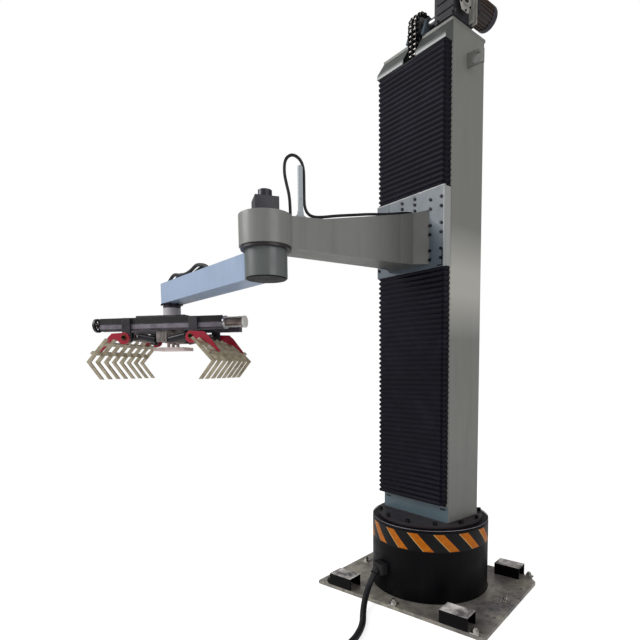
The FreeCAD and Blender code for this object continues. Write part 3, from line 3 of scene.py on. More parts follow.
import bmesh
import bpy
from mathutils import Matrix, Vector
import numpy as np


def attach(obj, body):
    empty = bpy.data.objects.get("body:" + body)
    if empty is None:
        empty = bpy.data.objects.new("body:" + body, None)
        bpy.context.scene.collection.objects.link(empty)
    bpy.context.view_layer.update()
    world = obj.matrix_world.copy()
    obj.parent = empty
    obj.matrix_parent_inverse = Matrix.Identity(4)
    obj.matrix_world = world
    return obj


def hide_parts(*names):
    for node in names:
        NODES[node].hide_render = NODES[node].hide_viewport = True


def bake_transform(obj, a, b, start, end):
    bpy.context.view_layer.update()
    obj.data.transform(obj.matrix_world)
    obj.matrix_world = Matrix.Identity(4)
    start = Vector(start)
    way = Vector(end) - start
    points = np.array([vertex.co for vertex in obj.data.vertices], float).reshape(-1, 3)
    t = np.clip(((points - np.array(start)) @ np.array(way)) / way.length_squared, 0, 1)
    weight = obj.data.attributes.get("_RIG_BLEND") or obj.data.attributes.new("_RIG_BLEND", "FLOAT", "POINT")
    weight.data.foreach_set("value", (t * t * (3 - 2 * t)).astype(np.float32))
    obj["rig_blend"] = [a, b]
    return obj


# Looks of the column palletizing robot, in metres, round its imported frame.
# The row frame lies along the ground plate. The turret turns in it, the forearm starts on the
# elbow axis and the gripper on the wrist axis; a piece is built in its own frame and then placed.

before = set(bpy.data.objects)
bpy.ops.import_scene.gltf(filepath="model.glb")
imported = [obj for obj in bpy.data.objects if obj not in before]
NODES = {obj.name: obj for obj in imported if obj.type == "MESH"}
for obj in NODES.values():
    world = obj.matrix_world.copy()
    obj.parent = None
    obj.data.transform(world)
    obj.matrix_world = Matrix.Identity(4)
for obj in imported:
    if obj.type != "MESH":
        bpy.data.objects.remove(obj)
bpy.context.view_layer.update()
scene = bpy.context.scene
MM = 0.001

# Where the frames stand

TURRET_TURN = math.radians(-11.0)
ARM_REACH = 1.110
FOREARM_TURN = math.radians(181.0)
FOREARM_LENGTH = 1.025
GRIPPER_TURN = math.radians(39.0)

BASE = Matrix.Identity(4)
TURRET = Matrix.Rotation(TURRET_TURN, 4, "Z")
FOREARM = (TURRET @ Matrix.Translation((0, -ARM_REACH, 0))
           @ Matrix.Rotation(FOREARM_TURN, 4, "Z"))
GRIPPER = (FOREARM @ Matrix.Translation((FOREARM_LENGTH, 0, 0))
           @ Matrix.Rotation(GRIPPER_TURN - FOREARM_TURN, 4, "Z"))

# Camera, as the photograph was taken, with its middle in the photograph's pixels

PHOTO_SIDE = 640.0
FOCAL_PIXELS = 481.14
MIDDLE_X = 335.5
MIDDLE_Y = 410.2
CAMERA_PLACE = (1.3504, -2.5495, 1.2811)
CAMERA_YAW = math.radians(39.08)
CAMERA_PITCH = math.radians(-4.753)
CAMERA_ROLL = math.radians(-0.501)
SENSOR = 36.0


def make_camera():
    data = bpy.data.cameras.new("camera")
    data.sensor_fit = "HORIZONTAL"
    data.sensor_width = SENSOR
    data.lens = FOCAL_PIXELS / PHOTO_SIDE * SENSOR
    data.shift_x = (PHOTO_SIDE / 2 - MIDDLE_X) / PHOTO_SIDE
    data.shift_y = (MIDDLE_Y - PHOTO_SIDE / 2) / PHOTO_SIDE
    data.clip_end = 60.0
    camera = bpy.data.objects.new("camera", data)
    scene.collection.objects.link(camera)
    camera.matrix_world = (Matrix.Translation(CAMERA_PLACE)
                           @ Matrix.Rotation(CAMERA_YAW, 4, "Z")
                           @ Matrix.Rotation(math.pi / 2 + CAMERA_PITCH, 4, "X")
                           @ Matrix.Rotation(CAMERA_ROLL, 4, "Z"))
    scene.camera = camera


# Sizes that finishes and pieces share

SKIN = 0.5 * MM
# How far from the elbow axis the hub's grey in painted shade gives way to the forearm's painted blue
# reflection.
HUB_SHADED_PAINT_REACH = (100 * MM, 102 * MM)
# Where the column's painted sheen lies: the height of its middle and the distances over which it fades.
SHEEN_HEIGHT = 1740 * MM
SHEEN_REACH = (60 * MM, 300 * MM)
DULL_SPAN = (500 * MM, 900 * MM)
ARM_SHADE_SPAN = (-620 * MM, -300 * MM)
BELLOWS_HALF = 236 * MM
BELLOWS_FRONT = -196 * MM
RUBBED_SIDE = (-BELLOWS_HALF + 5 * MM, -BELLOWS_HALF + 12 * MM)
RUBBED_FRONT = (BELLOWS_FRONT + 6 * MM, BELLOWS_FRONT + 10 * MM)
DRUM_RADIUS = 338 * MM
TAPE_LOW = 304 * MM
TAPE_HIGH = 407 * MM
TAPE_BARS = 15
TAPE_PITCH = 2 * math.pi * DRUM_RADIUS / TAPE_BARS
TAPE_SLANT = 0.95
TAPE_PHASE = 0.78
TAPE_SHARE = 0.41
TAPE_HIGHLIGHT = 0.03
TAPE_MARGIN = 0.04


# Material helpers

# Where a Mix node keeps its two colours and the one that comes out.
MIX_COLOURS = (6, 7)
MIX_RESULT = 2


def tone(red, green, blue):
    """Turn a screen colour into the linear one that a shader takes."""
    steps = []
    for part in (red, green, blue):
        part /= 255.0
        steps.append(part / 12.92 if part <= 0.04045 else ((part + 0.055) / 1.055) ** 2.4)
    return (*steps, 1.0)


def surface_of(material):
    return material.node_tree.nodes["Principled BSDF"]


def shader(name, colour, roughness, metal=0.0, coat=0.0, specular=0.5):
    material = bpy.data.materials.new(name)
    material.use_nodes = True
    surface = surface_of(material)
    surface.inputs["Base Color"].default_value = colour
    surface.inputs["Roughness"].default_value = roughness
    surface.inputs["Metallic"].default_value = metal
    surface.inputs["Coat Weight"].default_value = coat
    surface.inputs["Coat Roughness"].default_value = 0.15
    surface.inputs["Specular IOR Level"].default_value = specular
    return material


def add(owner, kind, **settings):
    """Put a node in a material or in the world, with its settings and its sockets' values."""
    item = owner.node_tree.nodes.new(kind)
    for key, value in settings.items():
        if hasattr(item, key):
            setattr(item, key, value)
        else:
            item.inputs[key.replace("_", " ")].default_value = value
    return item


def link(owner, source, target):
    owner.node_tree.links.new(source, target)


def place_on(material, stretch=(1, 1, 1), turn=0.0):
    """Object coordinates, turned about Z into a sub-part's own frame and stretched."""
    spot = add(material, "ShaderNodeTexCoord")
    turned = add(material, "ShaderNodeMapping")
    turned.inputs["Rotation"].default_value = (0, 0, -turn)
    link(material, spot.outputs["Object"], turned.inputs["Vector"])
    scaled = add(material, "ShaderNodeMapping")
    scaled.inputs["Scale"].default_value = stretch
    link(material, turned.outputs["Vector"], scaled.inputs["Vector"])
    return scaled.outputs["Vector"]


def noise(material, where, scale, detail=4.0, rough=0.55):
    item = add(material, "ShaderNodeTexNoise", Scale=scale, Detail=detail, Roughness=rough)
    link(material, where, item.inputs["Vector"])
    return item.outputs["Fac"]


def spread(material, value, low, high, out_low=0.0, out_high=1.0):
    item = add(material, "ShaderNodeMapRange")
    item.inputs["From Min"].default_value = low
    item.inputs["From Max"].default_value = high
    item.inputs["To Min"].default_value = out_low
    item.inputs["To Max"].default_value = out_high
    link(material, value, item.inputs["Value"])
    return item.outputs["Result"]


def math_node(owner, kind, *values):
    """Work with numbers, each given as it is or taken from another node's output."""
    item = add(owner, "ShaderNodeMath", operation=kind)
    for socket, value in zip(item.inputs, values):
        if isinstance(value, (int, float)):
            socket.default_value = value
        else:
            link(owner, value, socket)
    return item.outputs["Value"]


def blend_colours(material, share, first, second):
    """Mix two colours, each given as it is or taken from another node's output."""
    item = add(material, "ShaderNodeMix", data_type="RGBA")
    link(material, share, item.inputs["Factor"])
    for number, colour in zip(MIX_COLOURS, (first, second)):
        socket = item.inputs[number]
        if hasattr(colour, "links"):
            link(material, colour, socket)
        else:
            socket.default_value = colour
    return item.outputs[MIX_RESULT]


def colour_with(material, colour):
    link(material, colour, surface_of(material).inputs["Base Color"])


def roughness_with(material, value):
    link(material, value, surface_of(material).inputs["Roughness"])


def relief(material, height, depth, strength=1.0):
    item = add(material, "ShaderNodeBump", Strength=strength, Distance=depth)
    link(material, height, item.inputs["Height"])
    link(material, item.outputs["Normal"], surface_of(material).inputs["Normal"])


def base_colour(material):
    return surface_of(material).inputs["Base Color"].links[0].from_socket


def part_of(material, vector, axis):
    """One coordinate of a place or a direction."""
    parts = add(material, "ShaderNodeSeparateXYZ")
    link(material, vector, parts.inputs["Vector"])
    return parts.outputs[axis]


def along_turret(material, axis):
    """A coordinate in the turret's own frame."""
    return part_of(material, place_on(material, turn=TURRET_TURN), axis)


# Finishes

def enamel(name, colour, dull, roughness=0.42, turn=0.0, coat=0.12, specular=0.5):
    """Sprayed machine enamel: faint cloudiness, orange peel and a few dusty runs."""
    material = shader(name, tone(*colour), roughness, coat=coat, specular=specular)
    spot = place_on(material, turn=turn)
    clouds = spread(material, noise(material, spot, 2.3), 0.35, 0.7)
    streaks = spread(material, noise(material, place_on(material, (9, 9, 0.8), turn), 2.0),
                     0.48, 0.78, 0.0, 0.8)
    dirt = math_node(material, "MULTIPLY", clouds, streaks)
    colour_with(material, blend_colours(material, dirt, tone(*colour), tone(*dull)))
    roughness_with(material, spread(material, noise(material, spot, 14.0), 0.3, 0.7,
                                    roughness - 0.06, roughness + 0.1))
    relief(material, noise(material, spot, 420.0, 1.0), 0.15 * MM, 0.25)
    return material


def metal(name, colour, dark, roughness, stretch=(6, 6, 160), turn=0.0, shine=1.0):
    """Drawn or milled metal with fine lines along it and handling marks."""
    material = shader(name, tone(*colour), roughness, metal=shine)
    lines = noise(material, place_on(material, stretch, turn), 6.0, 3.0)
    marks = spread(material, noise(material, place_on(material, turn=turn), 18.0), 0.42, 0.72)
    colour_with(material, blend_colours(material, marks, tone(*colour), tone(*dark)))
    roughness_with(material, spread(material, lines, 0.3, 0.7, roughness - 0.08,
                                    roughness + 0.12))
    relief(material, lines, 0.2 * MM, 0.2)
    return material


def cast(name, colour, dark):
    """Cast or sprayed machine housing with a sandy skin."""
    material = shader(name, tone(*colour), 0.6, metal=0.25)
    spot = place_on(material)
    grain = noise(material, spot, 260.0, 3.0)
    smears = spread(material, noise(material, spot, 9.0), 0.38, 0.68)
    colour_with(material, blend_colours(material, smears, tone(*colour), tone(*dark)))
    relief(material, grain, 0.6 * MM, 0.5)
    return material


def moulded(name, colour, worn, roughness=0.45):
    """Rubber or plastic with a fine grain and paler scuffs."""
    material = shader(name, tone(*colour), roughness, specular=0.45)
    spot = place_on(material)
    scuffs = spread(material, noise(material, spot, 26.0, 6.0, 0.7), 0.56, 0.75)
    colour_with(material, blend_colours(material, scuffs, tone(*colour), tone(*worn)))
    relief(material, noise(material, spot, 380.0, 2.0), 0.2 * MM, 0.4)
    return material


def smudged_plate():
    """Bare rolled steel floor plate with mill scale, drips and scratches."""
    material = shader("plate_steel", tone(120, 112, 104), 0.45, metal=0.55)
    spot = place_on(material)
    broad = spread(material, noise(material, spot, 3.1, 5.0, 0.6), 0.36, 0.66)
    fine = spread(material, noise(material, spot, 21.0, 8.0, 0.75), 0.44, 0.66)
    pale = blend_colours(material, fine, tone(188, 182, 168), tone(138, 132, 122))
    dark = blend_colours(material, fine, tone(120, 116, 116), tone(78, 75, 77))
    colour_with(material, blend_colours(material, broad, pale, dark))
    lines = noise(material, place_on(material, (3, 90, 1), 0.4), 3.0, 3.0)
    roughness_with(material, spread(material, fine, 0.0, 1.0, 0.3, 0.6))
    relief(material, math_node(material, "ADD", fine, lines), 0.5 * MM, 0.35)
    return material


def column_enamel():
    """The column's grey, with a painted sheen that pales a band at half its height, and dull at the foot."""
    material = enamel("column_paint", (120, 121, 116), (100, 101, 95), 0.42, TURRET_TURN)
    height = along_turret(material, "Z")
    off = math_node(material, "ABSOLUTE", math_node(material, "SUBTRACT", height, SHEEN_HEIGHT))
    # Painted sheen: a paler band round the middle of the column's height.
    sheen_share = spread(material, off, *SHEEN_REACH, 0.9, 0.0)
    paler = blend_colours(material, sheen_share, base_colour(material), tone(178, 176, 170))
    dull = spread(material, height, *DULL_SPAN, 0.6, 0.0)
    colour_with(material, blend_colours(material, dull, paler, tone(98, 99, 98)))
    return material


def arm_enamel():
    """The arm's grey, with painted shade that darkens it towards the carriage."""
    material = enamel("arm_paint", (122, 123, 119), (106, 107, 102), 0.4)
    # Painted shade: the grey darkens towards the carriage.
    near = spread(material, along_turret(material, "Y"), *ARM_SHADE_SPAN)
    colour_with(material, blend_colours(material, near, base_colour(material), tone(80, 80, 77)))
    return material


def forearm_enamel():
    """The forearm's paint, pale blue from a painted reflection of the front light, with the hub's grey round
    the elbow in painted shade.
    """
    material = enamel("forearm_paint", (150, 168, 194), (130, 146, 168), 0.34)
    spot = add(material, "ShaderNodeTexCoord")
    centre = TURRET @ Vector((0, -ARM_REACH, 0))
    level = add(material, "ShaderNodeVectorMath", operation="MULTIPLY")
    level.inputs[1].default_value = (1, 1, 0)
    link(material, spot.outputs["Object"], level.inputs[0])
    away = add(material, "ShaderNodeVectorMath", operation="DISTANCE")
    away.inputs[1].default_value = (centre.x, centre.y, 0)
    link(material, level.outputs["Vector"], away.inputs[0])
    # Painted shade on the hub round the elbow, painted blue reflection on the beam beyond it.
    share = spread(material, away.outputs["Value"], *HUB_SHADED_PAINT_REACH)
    colour_with(material, blend_colours(material, share, tone(92, 97, 96),
                                        base_colour(material)))
    return material


def dusty_channel():
    """Near-black fork pocket with pale dust and rubbed steel on its upward faces."""
    material = shader("channel_paint", tone(6, 5, 8), 0.42, specular=0.12)
    spot = place_on(material)
    facing = add(material, "ShaderNodeNewGeometry").outputs["Normal"]
    upward = spread(material, part_of(material, facing, "Z"), 0.6, 0.8)
    patches = spread(material, noise(material, spot, 11.0, 6.0, 0.65), 0.4, 0.62)
    dust = blend_colours(material, patches, tone(214, 210, 206), tone(92, 90, 90))
    scuffs = spread(material, noise(material, spot, 34.0, 6.0, 0.7), 0.6, 0.75, 0.0, 0.6)
    side = blend_colours(material, scuffs, tone(6, 5, 8), tone(46, 43, 44))
    colour_with(material, blend_colours(material, upward, side, dust))
    roughness_with(material, spread(material, upward, 0.0, 1.0, 0.4, 0.65))
    return material


def folded_skin():
    """Black coated cloth whose cut left edge is rubbed pale."""
    material = shader("bellows_skin", tone(12, 11, 20), 0.45, specular=0.14)
    spot = place_on(material, turn=TURRET_TURN)
    rubbed = spread(material, part_of(material, spot, "X"), *RUBBED_SIDE, 1.0, 0.0)
    corner = spread(material, part_of(material, spot, "Y"), *RUBBED_FRONT, 1.0, 0.0)
    ragged = spread(material, noise(material, spot, 60.0, 4.0), 0.4, 0.55)
    edge = math_node(material, "MULTIPLY", math_node(material, "MULTIPLY", rubbed, corner),
                     ragged)
    dust = spread(material, noise(material, spot, 7.0, 6.0, 0.65), 0.5, 0.8, 0.0, 0.5)
    body = blend_colours(material, dust, tone(16, 14, 26), tone(38, 36, 50))
    colour_with(material, blend_colours(material, edge, body, tone(88, 84, 88)))
    relief(material, noise(material, spot, 700.0, 2.0), 0.2 * MM, 0.4)
    return material


def hazard_tape():
    """Black drum wrap with slanting orange bars, each with a painted highlight as a thin yellow line along
    its left edge.
    """
    material = shader("hazard_tape", tone(9, 8, 11), 0.4, specular=0.2)
    spot = add(material, "ShaderNodeTexCoord").outputs["Object"]
    around = math_node(material, "ARCTAN2", part_of(material, spot, "Y"),
                       part_of(material, spot, "X"))
    along = math_node(material, "MULTIPLY", around, DRUM_RADIUS / TAPE_PITCH)
    rise = math_node(material, "SUBTRACT", part_of(material, spot, "Z"), TAPE_LOW)
    slant = math_node(material, "MULTIPLY", rise, TAPE_SLANT / TAPE_PITCH)
    place = math_node(material, "ADD", along, slant)
    phase = math_node(material, "FRACT", math_node(material, "ADD", place, TAPE_PHASE))
    inside = math_node(material, "LESS_THAN", phase, TAPE_SHARE)
    # Painted highlight: a thin pale yellow line along each bar's left edge.
    edge = math_node(material, "LESS_THAN", phase, TAPE_HIGHLIGHT)
    level = math_node(material, "DIVIDE", rise, TAPE_HIGH - TAPE_LOW)
    below = math_node(material, "GREATER_THAN", level, TAPE_MARGIN)
    above = math_node(material, "LESS_THAN", level, 1.0 - TAPE_MARGIN)
    inside = math_node(material, "MULTIPLY", inside, math_node(material, "MULTIPLY", below, above))
    dust = spread(material, noise(material, place_on(material), 30.0, 5.0), 0.3, 0.8)
    orange = blend_colours(material, dust, tone(190, 106, 6), tone(160, 82, 4))
    bar = blend_colours(material, edge, orange, tone(206, 170, 108))
    black = blend_colours(material, dust, tone(9, 8, 11), tone(20, 18, 21))
    colour_with(material, blend_colours(material, inside, black, bar))
    relief(material, inside, 0.3 * MM, 0.5)
    return material


PAINT = {
    "column": column_enamel(),
    "hood": enamel("hood_paint", (72, 75, 73), (60, 62, 60), 0.42, TURRET_TURN),
    "arm": arm_enamel(),
    "post": enamel("post_paint", (168, 174, 179), (146, 150, 153), 0.4),
    # Painted light: the carriage's grey is tinted blue for the bluish light from the front.
    "carriage": enamel("carriage_paint", (80, 91, 100), (66, 75, 83), 0.4, TURRET_TURN),
    "forearm": forearm_enamel(),
    "wrist": enamel("wrist_paint", (186, 182, 186), (150, 146, 146), 0.4),
    "drum": enamel("drum_paint", (5, 4, 7), (16, 14, 17), 0.42, 0.0, 0.0, 0.12),
    "turntable": enamel("turntable_steel", (48, 42, 46), (28, 25, 28), 0.4, 0.0, 0.0, 0.4),
    "cover": enamel("cover_paint", (26, 25, 28), (16, 16, 18), 0.5, 0.0, 0.0, 0.2),
    "channel": dusty_channel(),
    "motor": enamel("motor_paint", (40, 37, 48), (26, 24, 31), 0.4),
    "lift": enamel("lift_motor_paint", (32, 29, 27), (21, 19, 18), 0.4),
    # Painted light: the foot's front grey is tinted blue for the bluish light from the front.
    "foot": enamel("foot_paint_and_blue_light", (86, 105, 114), (70, 86, 94), 0.4, TURRET_TURN),
    "lip": enamel("lip_paint", (150, 153, 151), (128, 130, 127), 0.4, TURRET_TURN),
    "fins": enamel("fin_paint", (76, 58, 48), (44, 36, 32), 0.4),
    "claw": enamel("claw_red", (160, 26, 50), (112, 14, 32), 0.33),
}
STEEL = {
    "plate": smudged_plate(),
    "bright": metal("bright_bolt", (204, 202, 198), (120, 116, 110), 0.28),
    "dark": metal("dark_bolt", (46, 44, 48), (22, 21, 24), 0.38),
    "machined": metal("machined_steel", (150, 150, 152), (100, 98, 98), 0.32),
    "shaft": metal("shaft_steel", (118, 112, 108), (70, 66, 64), 0.35),
    "chain": metal("chain_steel", (18, 19, 22), (10, 11, 12), 0.34),
    "roller": metal("chain_rollers", (150, 144, 138), (84, 78, 74), 0.3),
    "pin": metal("chain_pins", (216, 210, 202), (130, 120, 112), 0.26),
    "beam": metal("beam_aluminium", (86, 82, 88), (56, 53, 58), 0.34, (120, 4, 120),
                  GRIPPER_TURN + TURRET_TURN, 0.6),
    "band": metal("beam_band", (138, 132, 142), (108, 102, 110), 0.36, shine=0.5),
    "clamp": metal("clamp_steel", (72, 70, 74), (44, 42, 46), 0.4, shine=0.5),
    "brass": metal("brass_nut", (150, 112, 62), (96, 66, 38), 0.34),
    "barrel": metal("barrel_black", (40, 37, 41), (22, 20, 24), 0.3, shine=0.4),
    "post": metal("ribbed_post", (176, 168, 166), (128, 120, 118), 0.4, shine=0.4),
    "cover": metal("gearbox_cover", (176, 174, 168), (132, 130, 124), 0.42, shine=0.3),
    "tube": metal("silver_tube", (136, 122, 114), (84, 72, 68), 0.28, (4, 120, 120),
                  GRIPPER_TURN + TURRET_TURN, 0.7),
    "rod": metal("rod_chrome", (212, 212, 214), (160, 160, 162), 0.12),
    "press": metal("press_cream", (246, 228, 224), (212, 192, 188), 0.4, shine=0.2),
    "finger": metal("finger_cream", (182, 172, 150), (134, 122, 100), 0.36, (40, 40, 6),
                    shine=0.35),
}
CAST = {
    "drive": cast("drive_iron", (46, 46, 51), (32, 32, 36)),
    "weight": cast("weight_iron", (74, 74, 78), (48, 46, 48)),
}
SOFT = {
    "bellows": folded_skin(),
    "hose": moulded("hose_rubber", (20, 20, 24), (52, 52, 60), 0.5),
    "fitting": moulded("fitting_plastic", (22, 21, 24), (48, 46, 50), 0.5),
    "wheel": moulded("wheel_plastic", (16, 16, 17), (44, 44, 46), 0.4),
    "white": moulded("end_cap_plastic", (214, 212, 206), (180, 176, 170), 0.4),
}

# The nodes' finishes and edges

FINISHES = (
    (PAINT["column"], "column_shell", "top_plate", "lifting_lugs"),
    (PAINT["hood"], "upper_hood"),
    (PAINT["arm"], "upper_arm"),
    (PAINT["post"], "cable_post"),
    (PAINT["carriage"], "carriage_plate", "sprocket_brackets"),
    (PAINT["forearm"], "forearm_beam"),
    (PAINT["wrist"], "wrist_block"),
    (PAINT["drum"], "base_drum"),
    (PAINT["turntable"], "turntable", "elbow_reducer", "wrist_reducer"),
    (PAINT["cover"], "hub_cover"),
    (STEEL["plate"], "ground_plate"),
    (PAINT["channel"], "fork_channels", "bellows_foot"),
    (STEEL["bright"], "floor_bolts"),
    (STEEL["dark"], "plate_bolts", "turntable_bolts"),
    (STEEL["machined"], "linear_rails", "guide_blocks", "slewing_outer_ring", "drive_sprocket",
     "sprocket_shaft"),
    (STEEL["clamp"], "claw_brackets"),
    (CAST["drive"], "base_drive", "lift_gearbox", "chain_anchor"),
    (CAST["weight"], "counterweight"),
    (PAINT["motor"], "elbow_motor"),
    (PAINT["lift"], "lift_motor"),
    (STEEL["chain"], "chain_front", "chain_wrap", "chain_rear"),
    (SOFT["bellows"], "bellows_upper", "bellows_lower"),
    (STEEL["beam"], "gripper_frame"),
    (STEEL["post"], "press_cylinder", "cylinder_carrier"),
    (STEEL["press"], "press_plate"),
    (STEEL["tube"], "adjuster_cylinder"),
    (STEEL["barrel"], "right_cylinders", "left_cylinders"),
    (STEEL["rod"], "right_rods", "left_rods"),
    (PAINT["claw"], "right_claw_plates", "left_claw_plates"),
    (STEEL["shaft"], "right_claw_shaft", "left_claw_shaft"),
    (STEEL["finger"], "right_fingers", "left_fingers"),
    (SOFT["wheel"], "handwheel"),
    (SOFT["hose"], "supply_hose", "supply_hose_coil", "arm_cable", "forearm_hoses"),
    (SOFT["fitting"], "hose_gland", "supply_plug"),
)
EDGES = (
    ("column_shell", 2.5 * MM), ("top_plate", 2 * MM), ("upper_hood", 1.5 * MM),
    ("carriage_plate", 2 * MM), ("upper_arm", 3 * MM), ("forearm_beam", 3 * MM),
    ("lift_gearbox", 3 * MM), ("elbow_motor", 2 * MM),
    ("ground_plate", 2 * MM), ("base_drum", 2 * MM), ("turntable", 2 * MM),
    ("wrist_block", 2 * MM), ("gripper_frame", 0.8 * MM), ("claw_brackets", 1.2 * MM),
    ("right_claw_plates", 1 * MM), ("left_claw_plates", 1 * MM), ("right_fingers", 1.5 * MM),
    ("left_fingers", 1.5 * MM), ("press_plate", 1.5 * MM), ("hub_cover", 2 * MM),
    ("cable_post", 1 * MM), ("sprocket_brackets", 1 * MM), ("lifting_lugs", 1.5 * MM),
)
EDGE_ANGLE = math.radians(40.0)
WELD_REACH = 0.02 * MM


def paint_nodes():
    for material, *names in FINISHES:
        for name in names:
            item = NODES[name]
            item.data.materials.clear()
            item.data.materials.append(material)


def soften_nodes():
    """Round the long edges of the CAD nodes, so that they catch the light."""
    for name, width in EDGES:
        item = NODES[name]
        weld = item.modifiers.new("weld", "WELD")
        weld.merge_threshold = WELD_REACH
        bevel = item.modifiers.new("edge", "BEVEL")
        bevel.width = width
        bevel.segments = 2
        bevel.limit_method = "ANGLE"
        bevel.angle_limit = EDGE_ANGLE
        flat = item.modifiers.new("flat", "WEIGHTED_NORMAL")
        flat.weight = 100
        flat.keep_sharp = True


# Mesh helpers

MERGE_DISTANCE = 0.002 * MM
SHARP_ANGLE = math.radians(35)
SOCKET_RADIUS = 0.55
SOCKET_DEPTH = 0.55


def turned_to(direction):
    return Vector((0, 0, 1)).rotation_difference(Vector(direction)).to_matrix().to_4x4()


def slab(bm, corner, opposite):
    """A box between two opposite corners."""
    corner, opposite = Vector(corner), Vector(opposite)
    size = [abs(part) for part in opposite - corner]
    place = Matrix.Translation((corner + opposite) / 2) @ Matrix.Diagonal((*size, 1))
    return bmesh.ops.create_cube(bm, size=1.0, matrix=place)["verts"]


def rod(bm, start, end, radius, sides=24):
    """A round bar from one point to another."""
    start, end = Vector(start), Vector(end)
    run = end - start
    place = Matrix.Translation((start + end) / 2) @ turned_to(run)
    return bmesh.ops.create_cone(bm, cap_ends=True, segments=sides, radius1=radius,
                                 radius2=radius, depth=run.length, matrix=place)["verts"]


def edges_of(verts):
    return list(dict.fromkeys(edge for vert in verts for edge in vert.link_edges))


def round_edges(bm, verts, width, segments=2):
    """Bevel the sharp edges of what was just made."""
    sharp = [edge for edge in edges_of(verts)
             if len(edge.link_faces) == 2 and edge.calc_face_angle() > SHARP_ANGLE]
    bmesh.ops.bevel(bm, geom=sharp, offset=width, segments=segments, affect="EDGES",
                    profile=0.5, material=-1)


def full_turn(bm, verts, steps):
    """Spin a closed outline right round the Z axis."""
    bmesh.ops.spin(bm, geom=verts + edges_of(verts), cent=(0, 0, 0), axis=(0, 0, 1),
                   angle=2 * math.pi, steps=steps, use_merge=True)


def new_verts(made):
    return [item for item in made["geom"] if isinstance(item, bmesh.types.BMVert)]


def bolt(bm, spot, facing, radius, height):
    """A socket-head screw: a round head with a recess sunk in its end."""
    facing = Vector(facing).normalized()
    spot = Vector(spot)
    verts = rod(bm, spot, spot + facing * height, radius, 16)
    top = max((face for vert in verts for face in vert.link_faces),
              key=lambda face: face.calc_center_median().dot(facing))
    bmesh.ops.inset_region(bm, faces=[top], thickness=radius * (1 - SOCKET_RADIUS))
    sunk = bmesh.ops.extrude_face_region(bm, geom=[top])
    bmesh.ops.translate(bm, verts=new_verts(sunk), vec=-facing * height * SOCKET_DEPTH)
    bmesh.ops.delete(bm, geom=[top], context="FACES_ONLY")


def finish_piece(name, bm, place, body, material, replaces=(), smooth=35.0):
    """Turn a bmesh into a piece that sits at the origin and rides on its body.

    A piece without a body here is blended between two bodies by its maker.
    """
    bmesh.ops.remove_doubles(bm, verts=bm.verts, dist=MERGE_DISTANCE)
    bmesh.ops.transform(bm, matrix=place, verts=bm.verts)
    bmesh.ops.recalc_face_normals(bm, faces=bm.faces)
    mesh = bpy.data.meshes.new(name)
    bm.to_mesh(mesh)
    bm.free()
    mesh.materials.append(material)
    item = bpy.data.objects.new(name, mesh)
    scene.collection.objects.link(item)
    mesh.shade_smooth()
    mesh.set_sharp_from_angle(angle=math.radians(smooth))
    if body:
        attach(item, body)
    if replaces:
        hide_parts(*replaces)
    return item


# Cords, their routes in millimetres in the frame that each lies in

HOSE_DIAMETER = 34 * MM
HOSE_SIDES = 14
HOSE_RIB = 11 * MM
HOSE_RIB_DEPTH = 1.6 * MM
HOSE_ROUTE = [
    (-152, -362, 130), (-152, -386, 110), (-148, -424, 76), (-130, -478, 50), (-98, -540, 30),
    (-58, -604, 19), (-12, -668, 18), (24, -744, 18), (48, -826, 18), (52, -908, 18),
    (43, -988, 18)]
HOSE_END = [(150, -966, 22), (118, -996, 28), (109, -1024, 30), (109, -1040, 30)]
ARM_CABLE_DIAMETER = 13 * MM
ARM_CABLE_ROUTE = [
    (20, -199.5, 2125), (24, -256, 2116), (33, -346, 2090), (44, -444, 2066), (56, -546, 2044),
    (54, -656, 2019), (56, -764, 1994), (55, -838, 1974), (54, -890, 1964), (55, -925, 1970),
    (55, -943, 1998), (55, -944, 2048), (55, -943.5, 2102), (55, -944, 2162), (55, -962, 2196),
    (55, -1004, 2206), (55, -1042, 2176), (55, -1048, 2122), (55, -1037, 2076),
    (55, -1024, 2036), (55, -1019, 1990), (55, -1018.5, 1939.6)]
FOREARM_HOSE_DIAMETER = 18 * MM
FOREARM_HOSE_ROUTES = [
    [(448, 44, 1787), (478, 45, 1806), (528, 46, 1819), (590, 44, 1828), (652, 41, 1812),
     (702, 43, 1802.5), (762, 45, 1802.5), (812, 46, 1810), (868, 44, 1822), (924, 41, 1810),
     (958, 42, 1787)],
    [(486, 16, 1787), (516, 17, 1806), (566, 20, 1818), (626, 19, 1810), (676, 15, 1802.5),
     (740, 17, 1802.5), (790, 19, 1810), (842, 20, 1822), (900, 18, 1808), (934, 16, 1787)]]

COIL_CENTRE = Vector((235, -1090, 0))
COIL_OUTER = 207.0
COIL_INNER = 172.5
COIL_LAYERS = (17.3, 51.9)
COIL_START = 150.0
COIL_POINTS = 18
LAST_TURN = 0.62


def route_line(name, points, place):
    """A smooth cord line: a NURBS curve with the route's points as its control points."""
    curve = bpy.data.curves.new(name, "CURVE")
    curve.dimensions = "3D"
    curve.resolution_u = 6
    spline = curve.splines.new("NURBS")
    spline.points.add(len(points) - 1)
    for knot, point in zip(spline.points, points):
        knot.co = (*(place @ (Vector(point) * MM)), 1.0)
    spline.order_u = 3
    spline.use_endpoint_u = True
    return curve


def plain_cord(name, points, place, body, diameter, node):
    """A smooth round cord that the part holds at both ends."""
    curve = route_line(name, points, place)
    curve.bevel_depth = diameter / 2
    curve.bevel_resolution = 5
    curve.use_fill_caps = True
    curve.materials.append(SOFT["hose"])
    item = bpy.data.objects.new(name, curve)
    scene.collection.objects.link(item)
    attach(item, body)
    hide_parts(node)


